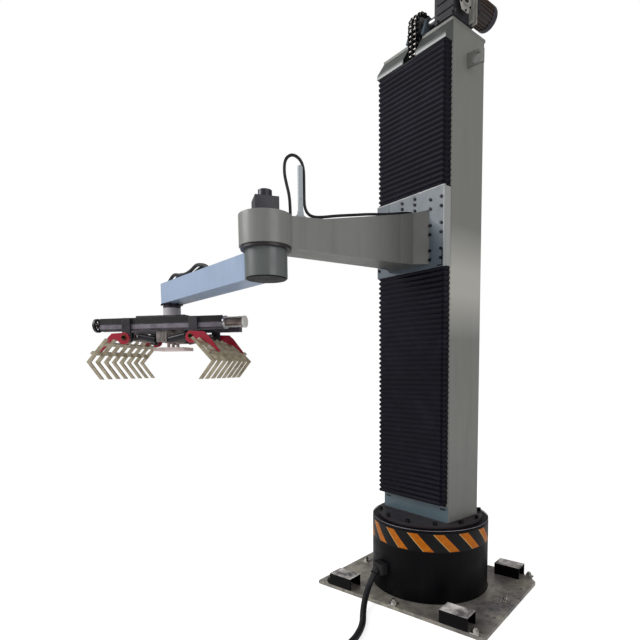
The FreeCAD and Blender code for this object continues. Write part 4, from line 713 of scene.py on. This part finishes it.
def coil_points():
    """Nearly four turns beside and on each other, which end next to the connector."""
    turns = ((COIL_OUTER, COIL_LAYERS[0], 1.0), (COIL_OUTER, COIL_LAYERS[1], 1.0),
             (COIL_INNER, COIL_LAYERS[1], 1.0), (COIL_INNER, COIL_LAYERS[0], LAST_TURN))
    points = []
    angle = COIL_START
    step = 360.0 / COIL_POINTS
    # The line cuts inside its points, so they stand a little further out than the turn.
    outward = 2.0 / (1 + math.cos(math.pi / COIL_POINTS))
    for radius, height, share in turns:
        reach = radius * outward
        for _ in range(round(COIL_POINTS * share)):
            turn = math.radians(angle)
            points.append((COIL_CENTRE.x + reach * math.cos(turn),
                           COIL_CENTRE.y + reach * math.sin(turn), height))
            angle += step
    return points


def line_points(curve):
    """The points along a curve that has no thickness."""
    guide = bpy.data.objects.new(curve.name, curve)
    scene.collection.objects.link(guide)
    bpy.context.view_layer.update()
    line = bpy.data.meshes.new_from_object(guide)
    path = [vert.co.copy() for vert in line.vertices]
    bpy.data.objects.remove(guide)
    bpy.data.meshes.remove(line)
    return path


def distances(path):
    """How far each point of a path lies along it."""
    reached = [0.0]
    for before, after in zip(path, path[1:]):
        reached.append(reached[-1] + (after - before).length)
    return reached


def stations(path, reached, count):
    """Evenly spaced places along a path, each with the way it heads there."""
    index = 0
    for step in range(count + 1):
        goal = reached[-1] * step / count
        while index < len(reached) - 2 and reached[index + 1] < goal:
            index += 1
        run = path[index + 1] - path[index]
        share = (goal - reached[index]) / max(run.length, 1e-9)
        yield path[index] + run * min(share, 1.0), run.normalized()


def corrugated_hose():
    """The supply hose: a ribbed conduit along its whole line, coil and all."""
    curve = route_line("supply_hose_line", HOSE_ROUTE + coil_points() + HOSE_END, BASE)
    path = line_points(curve)
    reached = distances(path)
    crest = HOSE_DIAMETER / 2
    radii = (crest - HOSE_RIB_DEPTH, crest)
    bm = bmesh.new()
    before = None
    sideways = (path[1] - path[0]).cross(Vector((0, 0, 1))).normalized()
    rings = 2 * int(reached[-1] / HOSE_RIB)
    for count, (spot, ahead) in enumerate(stations(path, reached, rings)):
        sideways = (sideways - ahead * sideways.dot(ahead)).normalized()
        turn = Matrix((sideways, sideways.cross(ahead), ahead)).transposed().to_4x4()
        loop = bmesh.ops.create_circle(bm, cap_ends=False, segments=HOSE_SIDES,
                                       radius=radii[count % 2],
                                       matrix=Matrix.Translation(spot) @ turn)["verts"]
        edges = edges_of(loop)
        if before:
            bmesh.ops.bridge_loops(bm, edges=before + edges)
        else:
            bmesh.ops.contextual_create(bm, geom=loop)
        before = edges
    bmesh.ops.contextual_create(bm, geom=loop)
    hose = finish_piece("supply_hose_run", bm, BASE, "base", SOFT["hose"],
                        ("supply_hose", "supply_hose_coil"), smooth=80.0)


def hang_cords():
    corrugated_hose()
    plain_cord("arm_cable_run", ARM_CABLE_ROUTE, TURRET, "carriage", ARM_CABLE_DIAMETER,
               "arm_cable")
    for name, route in zip(("forearm_hose_near", "forearm_hose_far"), FOREARM_HOSE_ROUTES):
        plain_cord(name, route, FOREARM, "forearm", FOREARM_HOSE_DIAMETER, "forearm_hoses")


# Bellows

BELLOWS_BACK = -141 * MM
BELLOWS_FOLD = 8 * MM
BELLOWS_PLEAT = 27 * MM
BELLOWS_CORNER = 9 * MM
BELLOWS_SKIN = 1.5 * MM
UPPER_SPAN = (2218.5 * MM, 2920 * MM)
LOWER_SPAN = (555 * MM, 1810.5 * MM)
# How far up a pleat each fold line lies, and how deep it is.
FOLD_LINES = ((0.10, 0.0), (0.46, BELLOWS_FOLD), (0.56, BELLOWS_FOLD), (1.0, 0.0))


def even_stretch(item, low, high):
    """Give a blended piece's points equal shares of the travel, from none at low to all at high."""
    weights = item.data.attributes["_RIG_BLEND"]
    for vert, weight in zip(item.data.vertices, weights.data):
        share = (vert.co.z - low) / (high - low)
        weight.value = min(max(share, 0.0), 1.0)


def bellows_loop(bm, fold, height):
    """One turn round the front and the two sides, with its corners cut."""
    half = BELLOWS_HALF - fold
    front = BELLOWS_FRONT + fold
    corner = BELLOWS_CORNER
    spots = [(-half, BELLOWS_BACK), (-half, front + corner), (-half + corner, front),
             (half - corner, front), (half, front + corner), (half, BELLOWS_BACK)]
    verts = [bm.verts.new((x, y, height)) for x, y in spots]
    return [bm.edges.new(pair) for pair in zip(verts, verts[1:])]


def pleated_cover(name, span, node, ends):
    """A folded cover over a span of heights: its first end stays and its second end moves."""
    low, high = span
    pleats = round((high - low) / BELLOWS_PLEAT)
    pitch = (high - low) / pleats
    bm = bmesh.new()
    before = bellows_loop(bm, 0.0, low)
    for count in range(pleats):
        foot = low + pitch * count
        for share, fold in FOLD_LINES:
            loop = bellows_loop(bm, fold, foot + pitch * share)
            bmesh.ops.bridge_loops(bm, edges=before + loop)
            before = loop
    item = finish_piece(name, bm, TURRET, None, SOFT["bellows"], (node,),
                        smooth=28.0)
    skin = item.modifiers.new("skin", "SOLIDIFY")
    skin.thickness = BELLOWS_SKIN
    skin.offset = -1.0
    start, end = [(0, 0, height) for height in ends]
    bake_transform(item, "column", "carriage", start=start, end=end)
    even_stretch(item, *ends)


def hang_bellows():
    pleated_cover("bellows_upper_folds", UPPER_SPAN, "bellows_upper", UPPER_SPAN[::-1])
    pleated_cover("bellows_lower_folds", LOWER_SPAN, "bellows_lower", LOWER_SPAN)


# Chain

CHAIN_PITCH = 25.4 * MM
CHAIN_ROW = 14.65 * MM
CHAIN_AXIS = Vector((0, -96 * MM, 3108 * MM))
CHAIN_RADIUS = 69.1 * MM
CHAIN_TEETH = 17
CHAIN_ANCHOR = 2200 * MM
CHAIN_WEIGHT = 1650 * MM
CHAIN_STILL_LINKS = 3
CHAIN_PLATE_RADIUS = 11.4 * MM
CHAIN_PLATE_WAIST = 0.72
CHAIN_PLATE_ARC = (-70, -40, 0, 40, 70)
ROLLER_RADIUS = 7.9 * MM
PIN_RADIUS = 4.2 * MM
PIN_HALF_LENGTH = 30.6 * MM
# How far from a row's middle each plate's two faces lie.
INNER_PLATE = (7.9 * MM, 10.9 * MM)
OUTER_PLATE = (11.3 * MM, 14.1 * MM)


def link_plate(bm, start, end, near, far):
    """A waisted side plate between two pins, from x near to x far."""
    run = (end - start).normalized()
    side = Vector((0, -run.z, run.y))
    outline = []
    for spot, ahead in ((end, 1), (start, -1)):
        for degrees in CHAIN_PLATE_ARC:
            turn = math.radians(degrees)
            outline.append(spot + CHAIN_PLATE_RADIUS * ahead
                           * (run * math.cos(turn) + side * math.sin(turn)))
        outline.append((start + end) / 2
                       + side * ahead * CHAIN_PLATE_RADIUS * CHAIN_PLATE_WAIST)
    face = bm.faces.new([bm.verts.new((near, spot.y, spot.z)) for spot in outline])
    raised = bmesh.ops.extrude_face_region(bm, geom=[face])
    bmesh.ops.translate(bm, verts=new_verts(raised), vec=(far - near, 0, 0))


def chain_run(name, spots, first, body, node):
    """Duplex roller chain through pin places; an odd first link has its plates inside."""
    plates = bmesh.new()
    pins = bmesh.new()
    rollers = bmesh.new()
    for count, (start, end) in enumerate(zip(spots, spots[1:])):
        near, far = INNER_PLATE if (count + first) % 2 else OUTER_PLATE
        for row in (-CHAIN_ROW, CHAIN_ROW):
            for side in (-1, 1):
                link_plate(plates, start, end, row + side * near, row + side * far)
    across = Vector((PIN_HALF_LENGTH, 0, 0))
    half = Vector((INNER_PLATE[0], 0, 0))
    for spot in spots[:-1]:
        rod(pins, spot - across, spot + across, PIN_RADIUS, 10)
        for row in (-CHAIN_ROW, CHAIN_ROW):
            middle = spot + Vector((row, 0, 0))
            rod(rollers, middle - half, middle + half, ROLLER_RADIUS, 12)
    return [finish_piece(name + "_plates", plates, TURRET, body, STEEL["chain"],
                         (node,)),
            finish_piece(name + "_pins", pins, TURRET, body, STEEL["pin"]),
            finish_piece(name + "_rollers", rollers, TURRET, body, STEEL["roller"])]


def strand(name, top, low, body, node):
    """A straight strand from just under the sprocket, which follows what hangs on it."""
    links = round((top.z - low) / CHAIN_PITCH)
    spots = [top - Vector((0, 0, (top.z - low) * count / links)) for count in range(links + 1)]
    for item in chain_run(name, spots, 1, None, node):
        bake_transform(item, "column", body, start=(0, 0, top.z), end=(0, 0, low))
        even_stretch(item, top.z, low)


def string_chain():
    half_teeth = CHAIN_TEETH // 2
    drops = [Vector((0, 0, -CHAIN_PITCH * count)) for count in range(CHAIN_STILL_LINKS, 0, -1)]
    front = CHAIN_AXIS + Vector((0, -CHAIN_RADIUS, 0))
    rear = CHAIN_AXIS + Vector((0, CHAIN_RADIUS, 0))
    wrap = [front + drop for drop in drops]
    for count in range(half_teeth + 1):
        turn = math.pi * count / half_teeth
        wrap.append(CHAIN_AXIS + CHAIN_RADIUS * Vector((0, -math.cos(turn), math.sin(turn))))
    wrap += [rear + drop for drop in reversed(drops)]
    chain_run("chain_wrap", wrap, 0, "column", "chain_wrap")
    strand("chain_front_blend", wrap[0], CHAIN_ANCHOR, "carriage", "chain_front")
    strand("chain_rear_blend", wrap[-1], CHAIN_WEIGHT, "counterweight", "chain_rear")


# Drum

PLATE_TOP = 20 * MM
DRUM_TOP = 423 * MM
TAPE_BACK = 0.1 * MM
TAPE_SKIN = 0.8 * MM
DRUM_WELD = 4 * MM
RIM_BEAD = 1.8 * MM
RIM_INSET = 1.5 * MM
RIM_DROP = 1 * MM


def bead(bm, radius, thick, height):
    """A round bead round the Z axis, such as a weld or the drum's rim, whose pale colour is a painted
    highlight.
    """
    place = Matrix.Translation((radius, 0, height)) @ Matrix.Rotation(math.pi / 2, 4, "X")
    verts = bmesh.ops.create_circle(bm, cap_ends=False, segments=8, radius=thick,
                                    matrix=place)["verts"]
    full_turn(bm, verts, 96)


def wrap_drum():
    bm = bmesh.new()
    outline = ((TAPE_BACK, TAPE_LOW), (TAPE_SKIN, TAPE_LOW),
               (TAPE_SKIN, TAPE_HIGH), (TAPE_BACK, TAPE_HIGH))
    verts = [bm.verts.new((DRUM_RADIUS + proud, 0, height)) for proud, height in outline]
    for pair in zip(verts, verts[1:] + verts[:1]):
        bm.edges.new(pair)
    full_turn(bm, verts, 128)
    finish_piece("hazard_wrap", bm, BASE, "base", hazard_tape())


def trim_drum():
    weld = bmesh.new()
    bead(weld, DRUM_RADIUS, DRUM_WELD, PLATE_TOP)
    finish_piece("drum_weld", weld, BASE, "base", PAINT["drum"])
    # The pale bead on the drum's top edge is a painted highlight of its chamfer.
    rim = bmesh.new()
    bead(rim, DRUM_RADIUS - RIM_INSET, RIM_BEAD, DRUM_TOP - RIM_DROP)
    finish_piece("drum_rim_highlight", rim, BASE, "base", STEEL["band"])


# Column

FACE = -139 * MM
COLUMN_HALF = 240 * MM
COLUMN_FOOT = 441 * MM
COVER_FOOT = 533 * MM
FRONT_INSET = 2 * MM
FOOT_WELD = 4.5 * MM
SLOT_MIDDLES = (-206 * MM, 205 * MM)
SLOT_HALF = 19 * MM
SLOT_SPAN = (511 * MM, 519 * MM)
HOOD_FACE = -198 * MM
HOOD_HALF = 239 * MM
HOOD_FOOT = 2921 * MM
LIP_START = 48 * MM
LIP_HEIGHT = 13 * MM
LIP_THICK = 1 * MM
NOTCH_MIDDLE = 86 * MM
NOTCH_HALF = 2 * MM
NOTCH_HEIGHT = 14 * MM
NOTCH_DEPTH = 0.6 * MM


def trim_column():
    """What the column's foot and head show: the pale front tinted with painted blue light, its slots and the
    hood's notches as dark strips of painted shade, and the hood's lip.
    """
    foot = bmesh.new()
    half = COLUMN_HALF - FRONT_INSET
    slab(foot, (-half, FACE - SKIN, COLUMN_FOOT), (half, FACE, COVER_FOOT))
    finish_piece("foot_front", foot, TURRET, "column", PAINT["foot"])
    # Painted shade: the slots and the hood's notches are dark strips on the faces.
    slots = bmesh.new()
    low, high = SLOT_SPAN
    for middle in SLOT_MIDDLES:
        slab(slots, (middle - SLOT_HALF, FACE - 2 * SKIN, low),
             (middle + SLOT_HALF, FACE - SKIN, high))
    for middle in (-NOTCH_MIDDLE, NOTCH_MIDDLE):
        slab(slots, (middle - NOTCH_HALF, HOOD_FACE - NOTCH_DEPTH, HOOD_FOOT),
             (middle + NOTCH_HALF, HOOD_FACE, HOOD_FOOT + NOTCH_HEIGHT))
    finish_piece("foot_slot_shade", slots, TURRET, "column", PAINT["cover"])
    lip = bmesh.new()
    for side in (-1, 1):
        slab(lip, (side * LIP_START, HOOD_FACE - LIP_THICK, HOOD_FOOT),
             (side * HOOD_HALF, HOOD_FACE, HOOD_FOOT + LIP_HEIGHT))
    finish_piece("hood_lip", lip, TURRET, "column", PAINT["lip"])
    weld = bmesh.new()
    front_left, front_right = (-COLUMN_HALF, FACE), (COLUMN_HALF, FACE)
    back_left, back_right = (-COLUMN_HALF, -FACE), (COLUMN_HALF, -FACE)
    for start, end in ((front_left, front_right), (front_right, back_right),
                       (front_left, back_left), (back_left, back_right)):
        rod(weld, (*start, COLUMN_FOOT), (*end, COLUMN_FOOT), FOOT_WELD, 10)
    finish_piece("foot_weld", weld, TURRET, "column", PAINT["turntable"])


# Carriage

CARRIAGE_FRONT = -198 * MM
CARRIAGE_HALF = 239 * MM
CARRIAGE_SPAN = (1811 * MM, 2218 * MM)
TOP_RIM = (5 * MM, 12 * MM)
SIDE_RIM = (3 * MM, 14 * MM)
RETURN_THICK = 5 * MM
RETURN_START = 16 * MM
RETURN_GAP = 3 * MM
RETURN_INSET = 4 * MM
# Each strip's left and right edge from the middle, its foot and head from the carriage's foot, in
# millimetres.
# The first strip is a seam; the other two make an L-shaped slot, dark strips of painted shade.
CARRIAGE_SEAMS_AND_SLOT = ((-146.5, -144.5, 0, 407), (226, 232, 4, 88), (196, 226, 4, 11))


def trim_carriage():
    """The plate's pale rims, its side returns behind them, the seams on its face and an L-shaped slot drawn
    as dark strips of painted shade.
    """
    low, high = CARRIAGE_SPAN
    rim = bmesh.new()
    height, depth = TOP_RIM
    slab(rim, (-CARRIAGE_HALF, CARRIAGE_FRONT - SKIN, high - height),
         (CARRIAGE_HALF, CARRIAGE_FRONT + depth, high + SKIN))
    width, depth = SIDE_RIM
    slab(rim, (CARRIAGE_HALF - width, CARRIAGE_FRONT - SKIN, low),
         (CARRIAGE_HALF + SKIN, CARRIAGE_FRONT + depth, high))
    finish_piece("carriage_rim", rim, TURRET, "carriage", PAINT["lip"])
    returns = bmesh.new()
    for side in (-1, 1):
        verts = slab(returns, (side * (CARRIAGE_HALF - RETURN_THICK),
                               CARRIAGE_FRONT + RETURN_START, low + RETURN_INSET),
                     (side * CARRIAGE_HALF, FACE - RETURN_GAP, high - RETURN_INSET))
        round_edges(returns, verts, 1.2 * MM)
    finish_piece("carriage_returns", returns, TURRET, "carriage", PAINT["lip"])
    seams = bmesh.new()
    for left, right, foot, head in CARRIAGE_SEAMS_AND_SLOT:
        slab(seams, (left * MM, CARRIAGE_FRONT - SKIN, low + foot * MM),
             (right * MM, CARRIAGE_FRONT, low + head * MM))
    finish_piece("carriage_seams_and_slot_shade", seams, TURRET, "carriage", PAINT["cover"])


# Lift gearbox and motor

GEAR_SIDE = 275 * MM
GEAR_FRONT = -152 * MM
GEAR_SPAN = (3041 * MM, 3260 * MM)
COVER_CENTRE = Vector((GEAR_SIDE, CHAIN_AXIS.y, CHAIN_AXIS.z + 12 * MM))
COVER_RADIUS = 78 * MM
COVER_SQUEEZE = (1, 0.66, 0.92)
COVER_THICK = 5 * MM
BOSS_RADIUS = 34 * MM
BOSS_TOP = 9 * MM
BORE_RADIUS = 22 * MM
BORE_TOP = 9.6 * MM
FLANGE_ROWS = (-24 * MM, 2 * MM)
FLANGE_WIDTH = 5 * MM
FLANGE_BACK = 140 * MM
FLANGE_PROUD = 4 * MM
FLANGE_FOOT = 2 * MM
GEAR_RIBS = 4
RIB_SPAN = (148 * MM, 258 * MM)
RIB_FOOT = 38 * MM
RIB_PITCH = 46 * MM
RIB_HEIGHT = 7 * MM
RIB_PROUD = 6 * MM
SOLE_SPAN = (140 * MM, 266 * MM)
SOLE_PROUD = 3 * MM
SOLE_HEIGHT = 16 * MM
SOLE_SCREWS = (156 * MM, 250 * MM)
COVER_SCREWS = 6
COVER_SCREW_REACH = (44 * MM, 58 * MM)


def outwards(distance):
    """A place beside the gearbox's outer side, on its bore's centre line."""
    return COVER_CENTRE + Vector((distance, 0, 0))


def gearbox_cover():
    """The side cover with its boss, and the two flange strips round the housing."""
    low, high = GEAR_SPAN
    cover = bmesh.new()
    verts = rod(cover, outwards(0), outwards(COVER_THICK), COVER_RADIUS, 6)
    bmesh.ops.scale(cover, vec=COVER_SQUEEZE, verts=verts,
                    space=Matrix.Translation(-COVER_CENTRE))
    round_edges(cover, verts, 1.5 * MM)
    verts = rod(cover, outwards(COVER_THICK), outwards(BOSS_TOP), BOSS_RADIUS, 32)
    round_edges(cover, verts, 1 * MM)
    for row in FLANGE_ROWS:
        verts = slab(cover, (GEAR_SIDE - FLANGE_BACK, row, low + FLANGE_FOOT),
                     (GEAR_SIDE + FLANGE_PROUD, row + FLANGE_WIDTH, high))
        round_edges(cover, verts, 1 * MM)
    finish_piece("gearbox_cover", cover, TURRET, "column", STEEL["cover"])
    # The bore is a dark disc on the boss: painted shade where the hollow shaft opens.
    bore = bmesh.new()
    rod(bore, outwards(BOSS_TOP), outwards(BORE_TOP), BORE_RADIUS, 32)
    finish_piece("gearbox_bore_shade", bore, TURRET, "column", PAINT["cover"])


def gearbox_ribs():
    low = GEAR_SPAN[0]
    ribs = bmesh.new()
    near, far = RIB_SPAN
    for count in range(GEAR_RIBS):
        height = low + RIB_FOOT + RIB_PITCH * count
        verts = slab(ribs, (near, GEAR_FRONT - RIB_PROUD, height),
                     (far, GEAR_FRONT, height + RIB_HEIGHT))
        round_edges(ribs, verts, 1.5 * MM)
    near, far = SOLE_SPAN
    verts = slab(ribs, (near, GEAR_FRONT - SOLE_PROUD, low),
                 (far, GEAR_FRONT, low + SOLE_HEIGHT))
    round_edges(ribs, verts, 1.5 * MM)
    finish_piece("gearbox_ribs", ribs, TURRET, "column", CAST["drive"])


def gearbox_screws():
    screws = bmesh.new()
    across, up = COVER_SCREW_REACH
    for count in range(COVER_SCREWS):
        turn = 2 * math.pi * (count + 0.5) / COVER_SCREWS
        spot = outwards(COVER_THICK) + Vector((0, across * math.cos(turn), up * math.sin(turn)))
        bolt(screws, spot, (1, 0, 0), 5 * MM, 5 * MM)
    for along in SOLE_SCREWS:
        spot = (along, GEAR_FRONT - SOLE_PROUD, GEAR_SPAN[0] + SOLE_HEIGHT / 2)
        bolt(screws, spot, (0, -1, 0), 6 * MM, 6 * MM)
    finish_piece("gearbox_screws", screws, TURRET, "column", STEEL["dark"])


MOTOR_AXIS = Vector((205, 0, 3190)) * MM
MOTOR_RADIUS = 60 * MM
MOTOR_START = 44 * MM
MOTOR_END = 212 * MM
COWL_START = MOTOR_END - 34 * MM
COWL_PROUD = 5 * MM
MOTOR_FINS = 24
FIN_HALF = 1.6 * MM
FIN_ROOT = 3 * MM
FIN_PROUD = 5 * MM
FIN_SPAN = (MOTOR_START + 8 * MM, COWL_START - 2 * MM)


def on_motor(along):
    """A place on the motor's axis."""
    return MOTOR_AXIS + Vector((0, along, 0))


def dress_motor():
    """A ribbed barrel with a fan cowl, in place of the plain motor."""
    barrel = bmesh.new()
    verts = rod(barrel, on_motor(MOTOR_START), on_motor(COWL_START), MOTOR_RADIUS, 48)
    round_edges(barrel, verts, 2 * MM)
    finish_piece("motor_barrel", barrel, TURRET, "column", PAINT["lift"],
                 ("lift_motor",))
    fins = bmesh.new()
    near, far = FIN_SPAN
    for count in range(MOTOR_FINS):
        turn = Matrix.Rotation(2 * math.pi * count / MOTOR_FINS, 4, "Y")
        verts = slab(fins, (-FIN_HALF, near, MOTOR_RADIUS - FIN_ROOT),
                     (FIN_HALF, far, MOTOR_RADIUS + FIN_PROUD))
        bmesh.ops.transform(fins, matrix=Matrix.Translation(MOTOR_AXIS) @ turn, verts=verts)
    finish_piece("motor_fins", fins, TURRET, "column", PAINT["fins"])
    cowl = bmesh.new()
    verts = rod(cowl, on_motor(COWL_START), on_motor(MOTOR_END), MOTOR_RADIUS + COWL_PROUD, 48)
    round_edges(cowl, verts, 5 * MM, 3)
    finish_piece("motor_cowl", cowl, TURRET, "column", PAINT["motor"])


# Gripper

BEAM_FACE = 138 * MM
BEAM_HALF = 381 * MM
BEAM_GROOVE = (1558 * MM, 1590 * MM)
BEAM_BAND = (1528 * MM, 1552 * MM)
SCREW_AXIS = Vector((0, -118, 1552)) * MM
COUPLING_SPAN = (BEAM_HALF + 1 * MM, BEAM_HALF + 15 * MM)
COUPLING_RADIUS = 36.5 * MM
END_CAP_SPAN = (494 * MM, 508 * MM)
END_CAP_RADIUS = 33 * MM
TIE_SPAN = (BEAM_HALF + 12 * MM, 500 * MM)
TIE_REACH = 34 * MM
TIE_RADIUS = 3 * MM
CLAW_PIVOT_X = 204 * MM
CLAW_PIVOT_Z = 1478 * MM
CLAW_FACE = 178 * MM
WASHER_RADIUS = 14 * MM
WASHER_BACK = 2 * MM
WASHER_THICK = 1.5 * MM
POST_SPAN = (1455 * MM, 1514 * MM)
POST_FACE = (127 * MM, 130.5 * MM)
POST_RIBS = 7
POST_RIB_PITCH = 8.5 * MM
POST_RIB_HALF = 2 * MM
WRIST_SCREWS = 8
WRIST_SCREW_RING = 58 * MM
WRIST_SCREW_FOOT = 1678 * MM
WRIST_SCREW_TURN = 0.2


def trim_beams():
    """Grooves drawn as dark strips of painted shade, and pale bands, along the outer faces of the two
    profile beams.
    """
    groove = bmesh.new()
    band = bmesh.new()
    for side in (-1, 1):
        for bm, (low, high) in ((groove, BEAM_GROOVE), (band, BEAM_BAND)):
            slab(bm, (-BEAM_HALF, side * BEAM_FACE, low),
                 (BEAM_HALF, side * (BEAM_FACE + SKIN), high))
    # Painted shade: a dark strip stands where each groove runs.
    finish_piece("beam_groove_shade", groove, GRIPPER, "gripper", SOFT["fitting"])
    finish_piece("beam_bands", band, GRIPPER, "gripper", STEEL["band"])


def on_screw(along):
    """A place on the width screw's axis."""
    return SCREW_AXIS + Vector((along, 0, 0))


def dress_adjuster():
    """Coupling ring, tie rods and white end cap of the tube on the width screw."""
    coupling = bmesh.new()
    near, far = COUPLING_SPAN
    verts = rod(coupling, on_screw(near), on_screw(far), COUPLING_RADIUS, 40)
    round_edges(coupling, verts, 2 * MM)
    finish_piece("adjuster_coupling", coupling, GRIPPER, "gripper", STEEL["rod"])
    cap = bmesh.new()
    near, far = END_CAP_SPAN
    verts = rod(cap, on_screw(near), on_screw(far), END_CAP_RADIUS, 40)
    round_edges(cap, verts, 3 * MM, 3)
    finish_piece("adjuster_cap", cap, GRIPPER, "gripper", SOFT["white"])
    ties = bmesh.new()
    near, far = TIE_SPAN
    for count in range(4):
        turn = math.pi / 2 * (count + 0.5)
        across = Vector((0, TIE_REACH * math.cos(turn), TIE_REACH * math.sin(turn)))
        rod(ties, on_screw(near) + across, on_screw(far) + across, TIE_RADIUS, 12)
    finish_piece("adjuster_ties", ties, GRIPPER, "gripper", STEEL["rod"])


def dress_claws():
    """Pivot nuts on both sides of each claw, dark with a brass washer."""
    for side, name in ((1, "right"), (-1, "left")):
        nuts = bmesh.new()
        washers = bmesh.new()
        for along in (-1, 1):
            spot = Vector((side * CLAW_PIVOT_X, along * CLAW_FACE, CLAW_PIVOT_Z))
            ahead = Vector((0, along, 0))
            seat = spot + ahead * WASHER_THICK
            rod(washers, spot - ahead * WASHER_BACK, seat, WASHER_RADIUS, 28)
            bolt(nuts, seat, ahead, 9 * MM, 6 * MM)
        finish_piece(name + "_pivot_nuts", nuts, GRIPPER, name + "_claw", STEEL["dark"])
        finish_piece(name + "_pivot_washers", washers, GRIPPER, name + "_claw", STEEL["brass"])


def rib_post():
    """Upright ribs on the front and the back of the press plate's post."""
    ribs = bmesh.new()
    low, high = POST_SPAN
    near, far = POST_FACE
    for side in (-1, 1):
        for count in range(POST_RIBS):
            across = (count - POST_RIBS // 2) * POST_RIB_PITCH
            verts = slab(ribs, (across - POST_RIB_HALF, side * near, low),
                         (across + POST_RIB_HALF, side * far, high))
            round_edges(ribs, verts, 0.8 * MM, 1)
    finish_piece("post_ribs", ribs, GRIPPER, "gripper", STEEL["post"])


def bolt_wrist():
    screws = bmesh.new()
    for count in range(WRIST_SCREWS):
        turn = 2 * math.pi * count / WRIST_SCREWS + WRIST_SCREW_TURN
        spot = (FOREARM_LENGTH + WRIST_SCREW_RING * math.cos(turn),
                WRIST_SCREW_RING * math.sin(turn), WRIST_SCREW_FOOT)
        bolt(screws, spot, (0, 0, -1), 6 * MM, 8 * MM)
    finish_piece("wrist_screws", screws, FOREARM, "forearm", STEEL["dark"])


# Stage and light

FLOOR_SIDE = 60.0
FLOOR_DROP = 0.5 * MM
FLOOR_COLOUR = (0.8, 0.8, 0.8, 1)
FLOOR_GLOW = 0.62
WHITE = (1, 1, 1, 1)
WORLD_LEVEL = 0.55
MIRROR_LEVEL = 0.3
LAMP_SIDE = 3.0
LAMPS = (
    ("key", (-3.6, -4.4, 4.6), (-0.4, -0.4, 1.6), 220.0),
    ("side", (4.6, -1.6, 3.0), (0.0, -0.2, 1.5), 60.0),
)


def make_stage():
    """A floor that shows as white paper and only takes the part's soft shadow."""
    bpy.ops.mesh.primitive_plane_add(size=FLOOR_SIDE, location=(0, 0, -FLOOR_DROP))
    floor = bpy.context.object
    floor.name = "floor"
    material = shader("floor", FLOOR_COLOUR, 0.9, specular=0.1)
    surface = surface_of(material)
    surface.inputs["Emission Color"].default_value = WHITE
    paths = add(material, "ShaderNodeLightPath")
    seen = math_node(material, "MULTIPLY", paths.outputs["Is Camera Ray"], FLOOR_GLOW)
    link(material, seen, surface.inputs["Emission Strength"])
    floor.data.materials.append(material)


def make_world():
    """A white backdrop that lights the part at a plain level and mirrors at a lower one."""
    world = bpy.data.worlds.new("studio")
    scene.world = world
    world.use_nodes = True
    back = world.node_tree.nodes["Background"]
    back.inputs["Color"].default_value = WHITE
    paths = add(world, "ShaderNodeLightPath")
    lit = math_node(world, "MULTIPLY_ADD", paths.outputs["Is Glossy Ray"],
                    MIRROR_LEVEL - WORLD_LEVEL, WORLD_LEVEL)
    level = math_node(world, "MAXIMUM", paths.outputs["Is Camera Ray"], lit)
    link(world, level, back.inputs["Strength"])


def make_lamps():
    for name, place, aim, power in LAMPS:
        data = bpy.data.lights.new(name, "AREA")
        data.energy = power
        data.size = LAMP_SIDE
        lamp = bpy.data.objects.new(name, data)
        scene.collection.objects.link(lamp)
        lamp.location = place
        run = Vector(aim) - Vector(place)
        lamp.rotation_mode = "QUATERNION"
        lamp.rotation_quaternion = run.to_track_quat("-Z", "Y")


# The scene

make_camera()
make_stage()
make_world()
make_lamps()
scene.view_settings.view_transform = "Standard"
paint_nodes()
hang_cords()
hang_bellows()
string_chain()
wrap_drum()
trim_drum()
trim_column()
trim_carriage()
gearbox_cover()
gearbox_ribs()
gearbox_screws()
dress_motor()
trim_beams()
dress_adjuster()
dress_claws()
rib_post()
bolt_wrist()
soften_nodes()
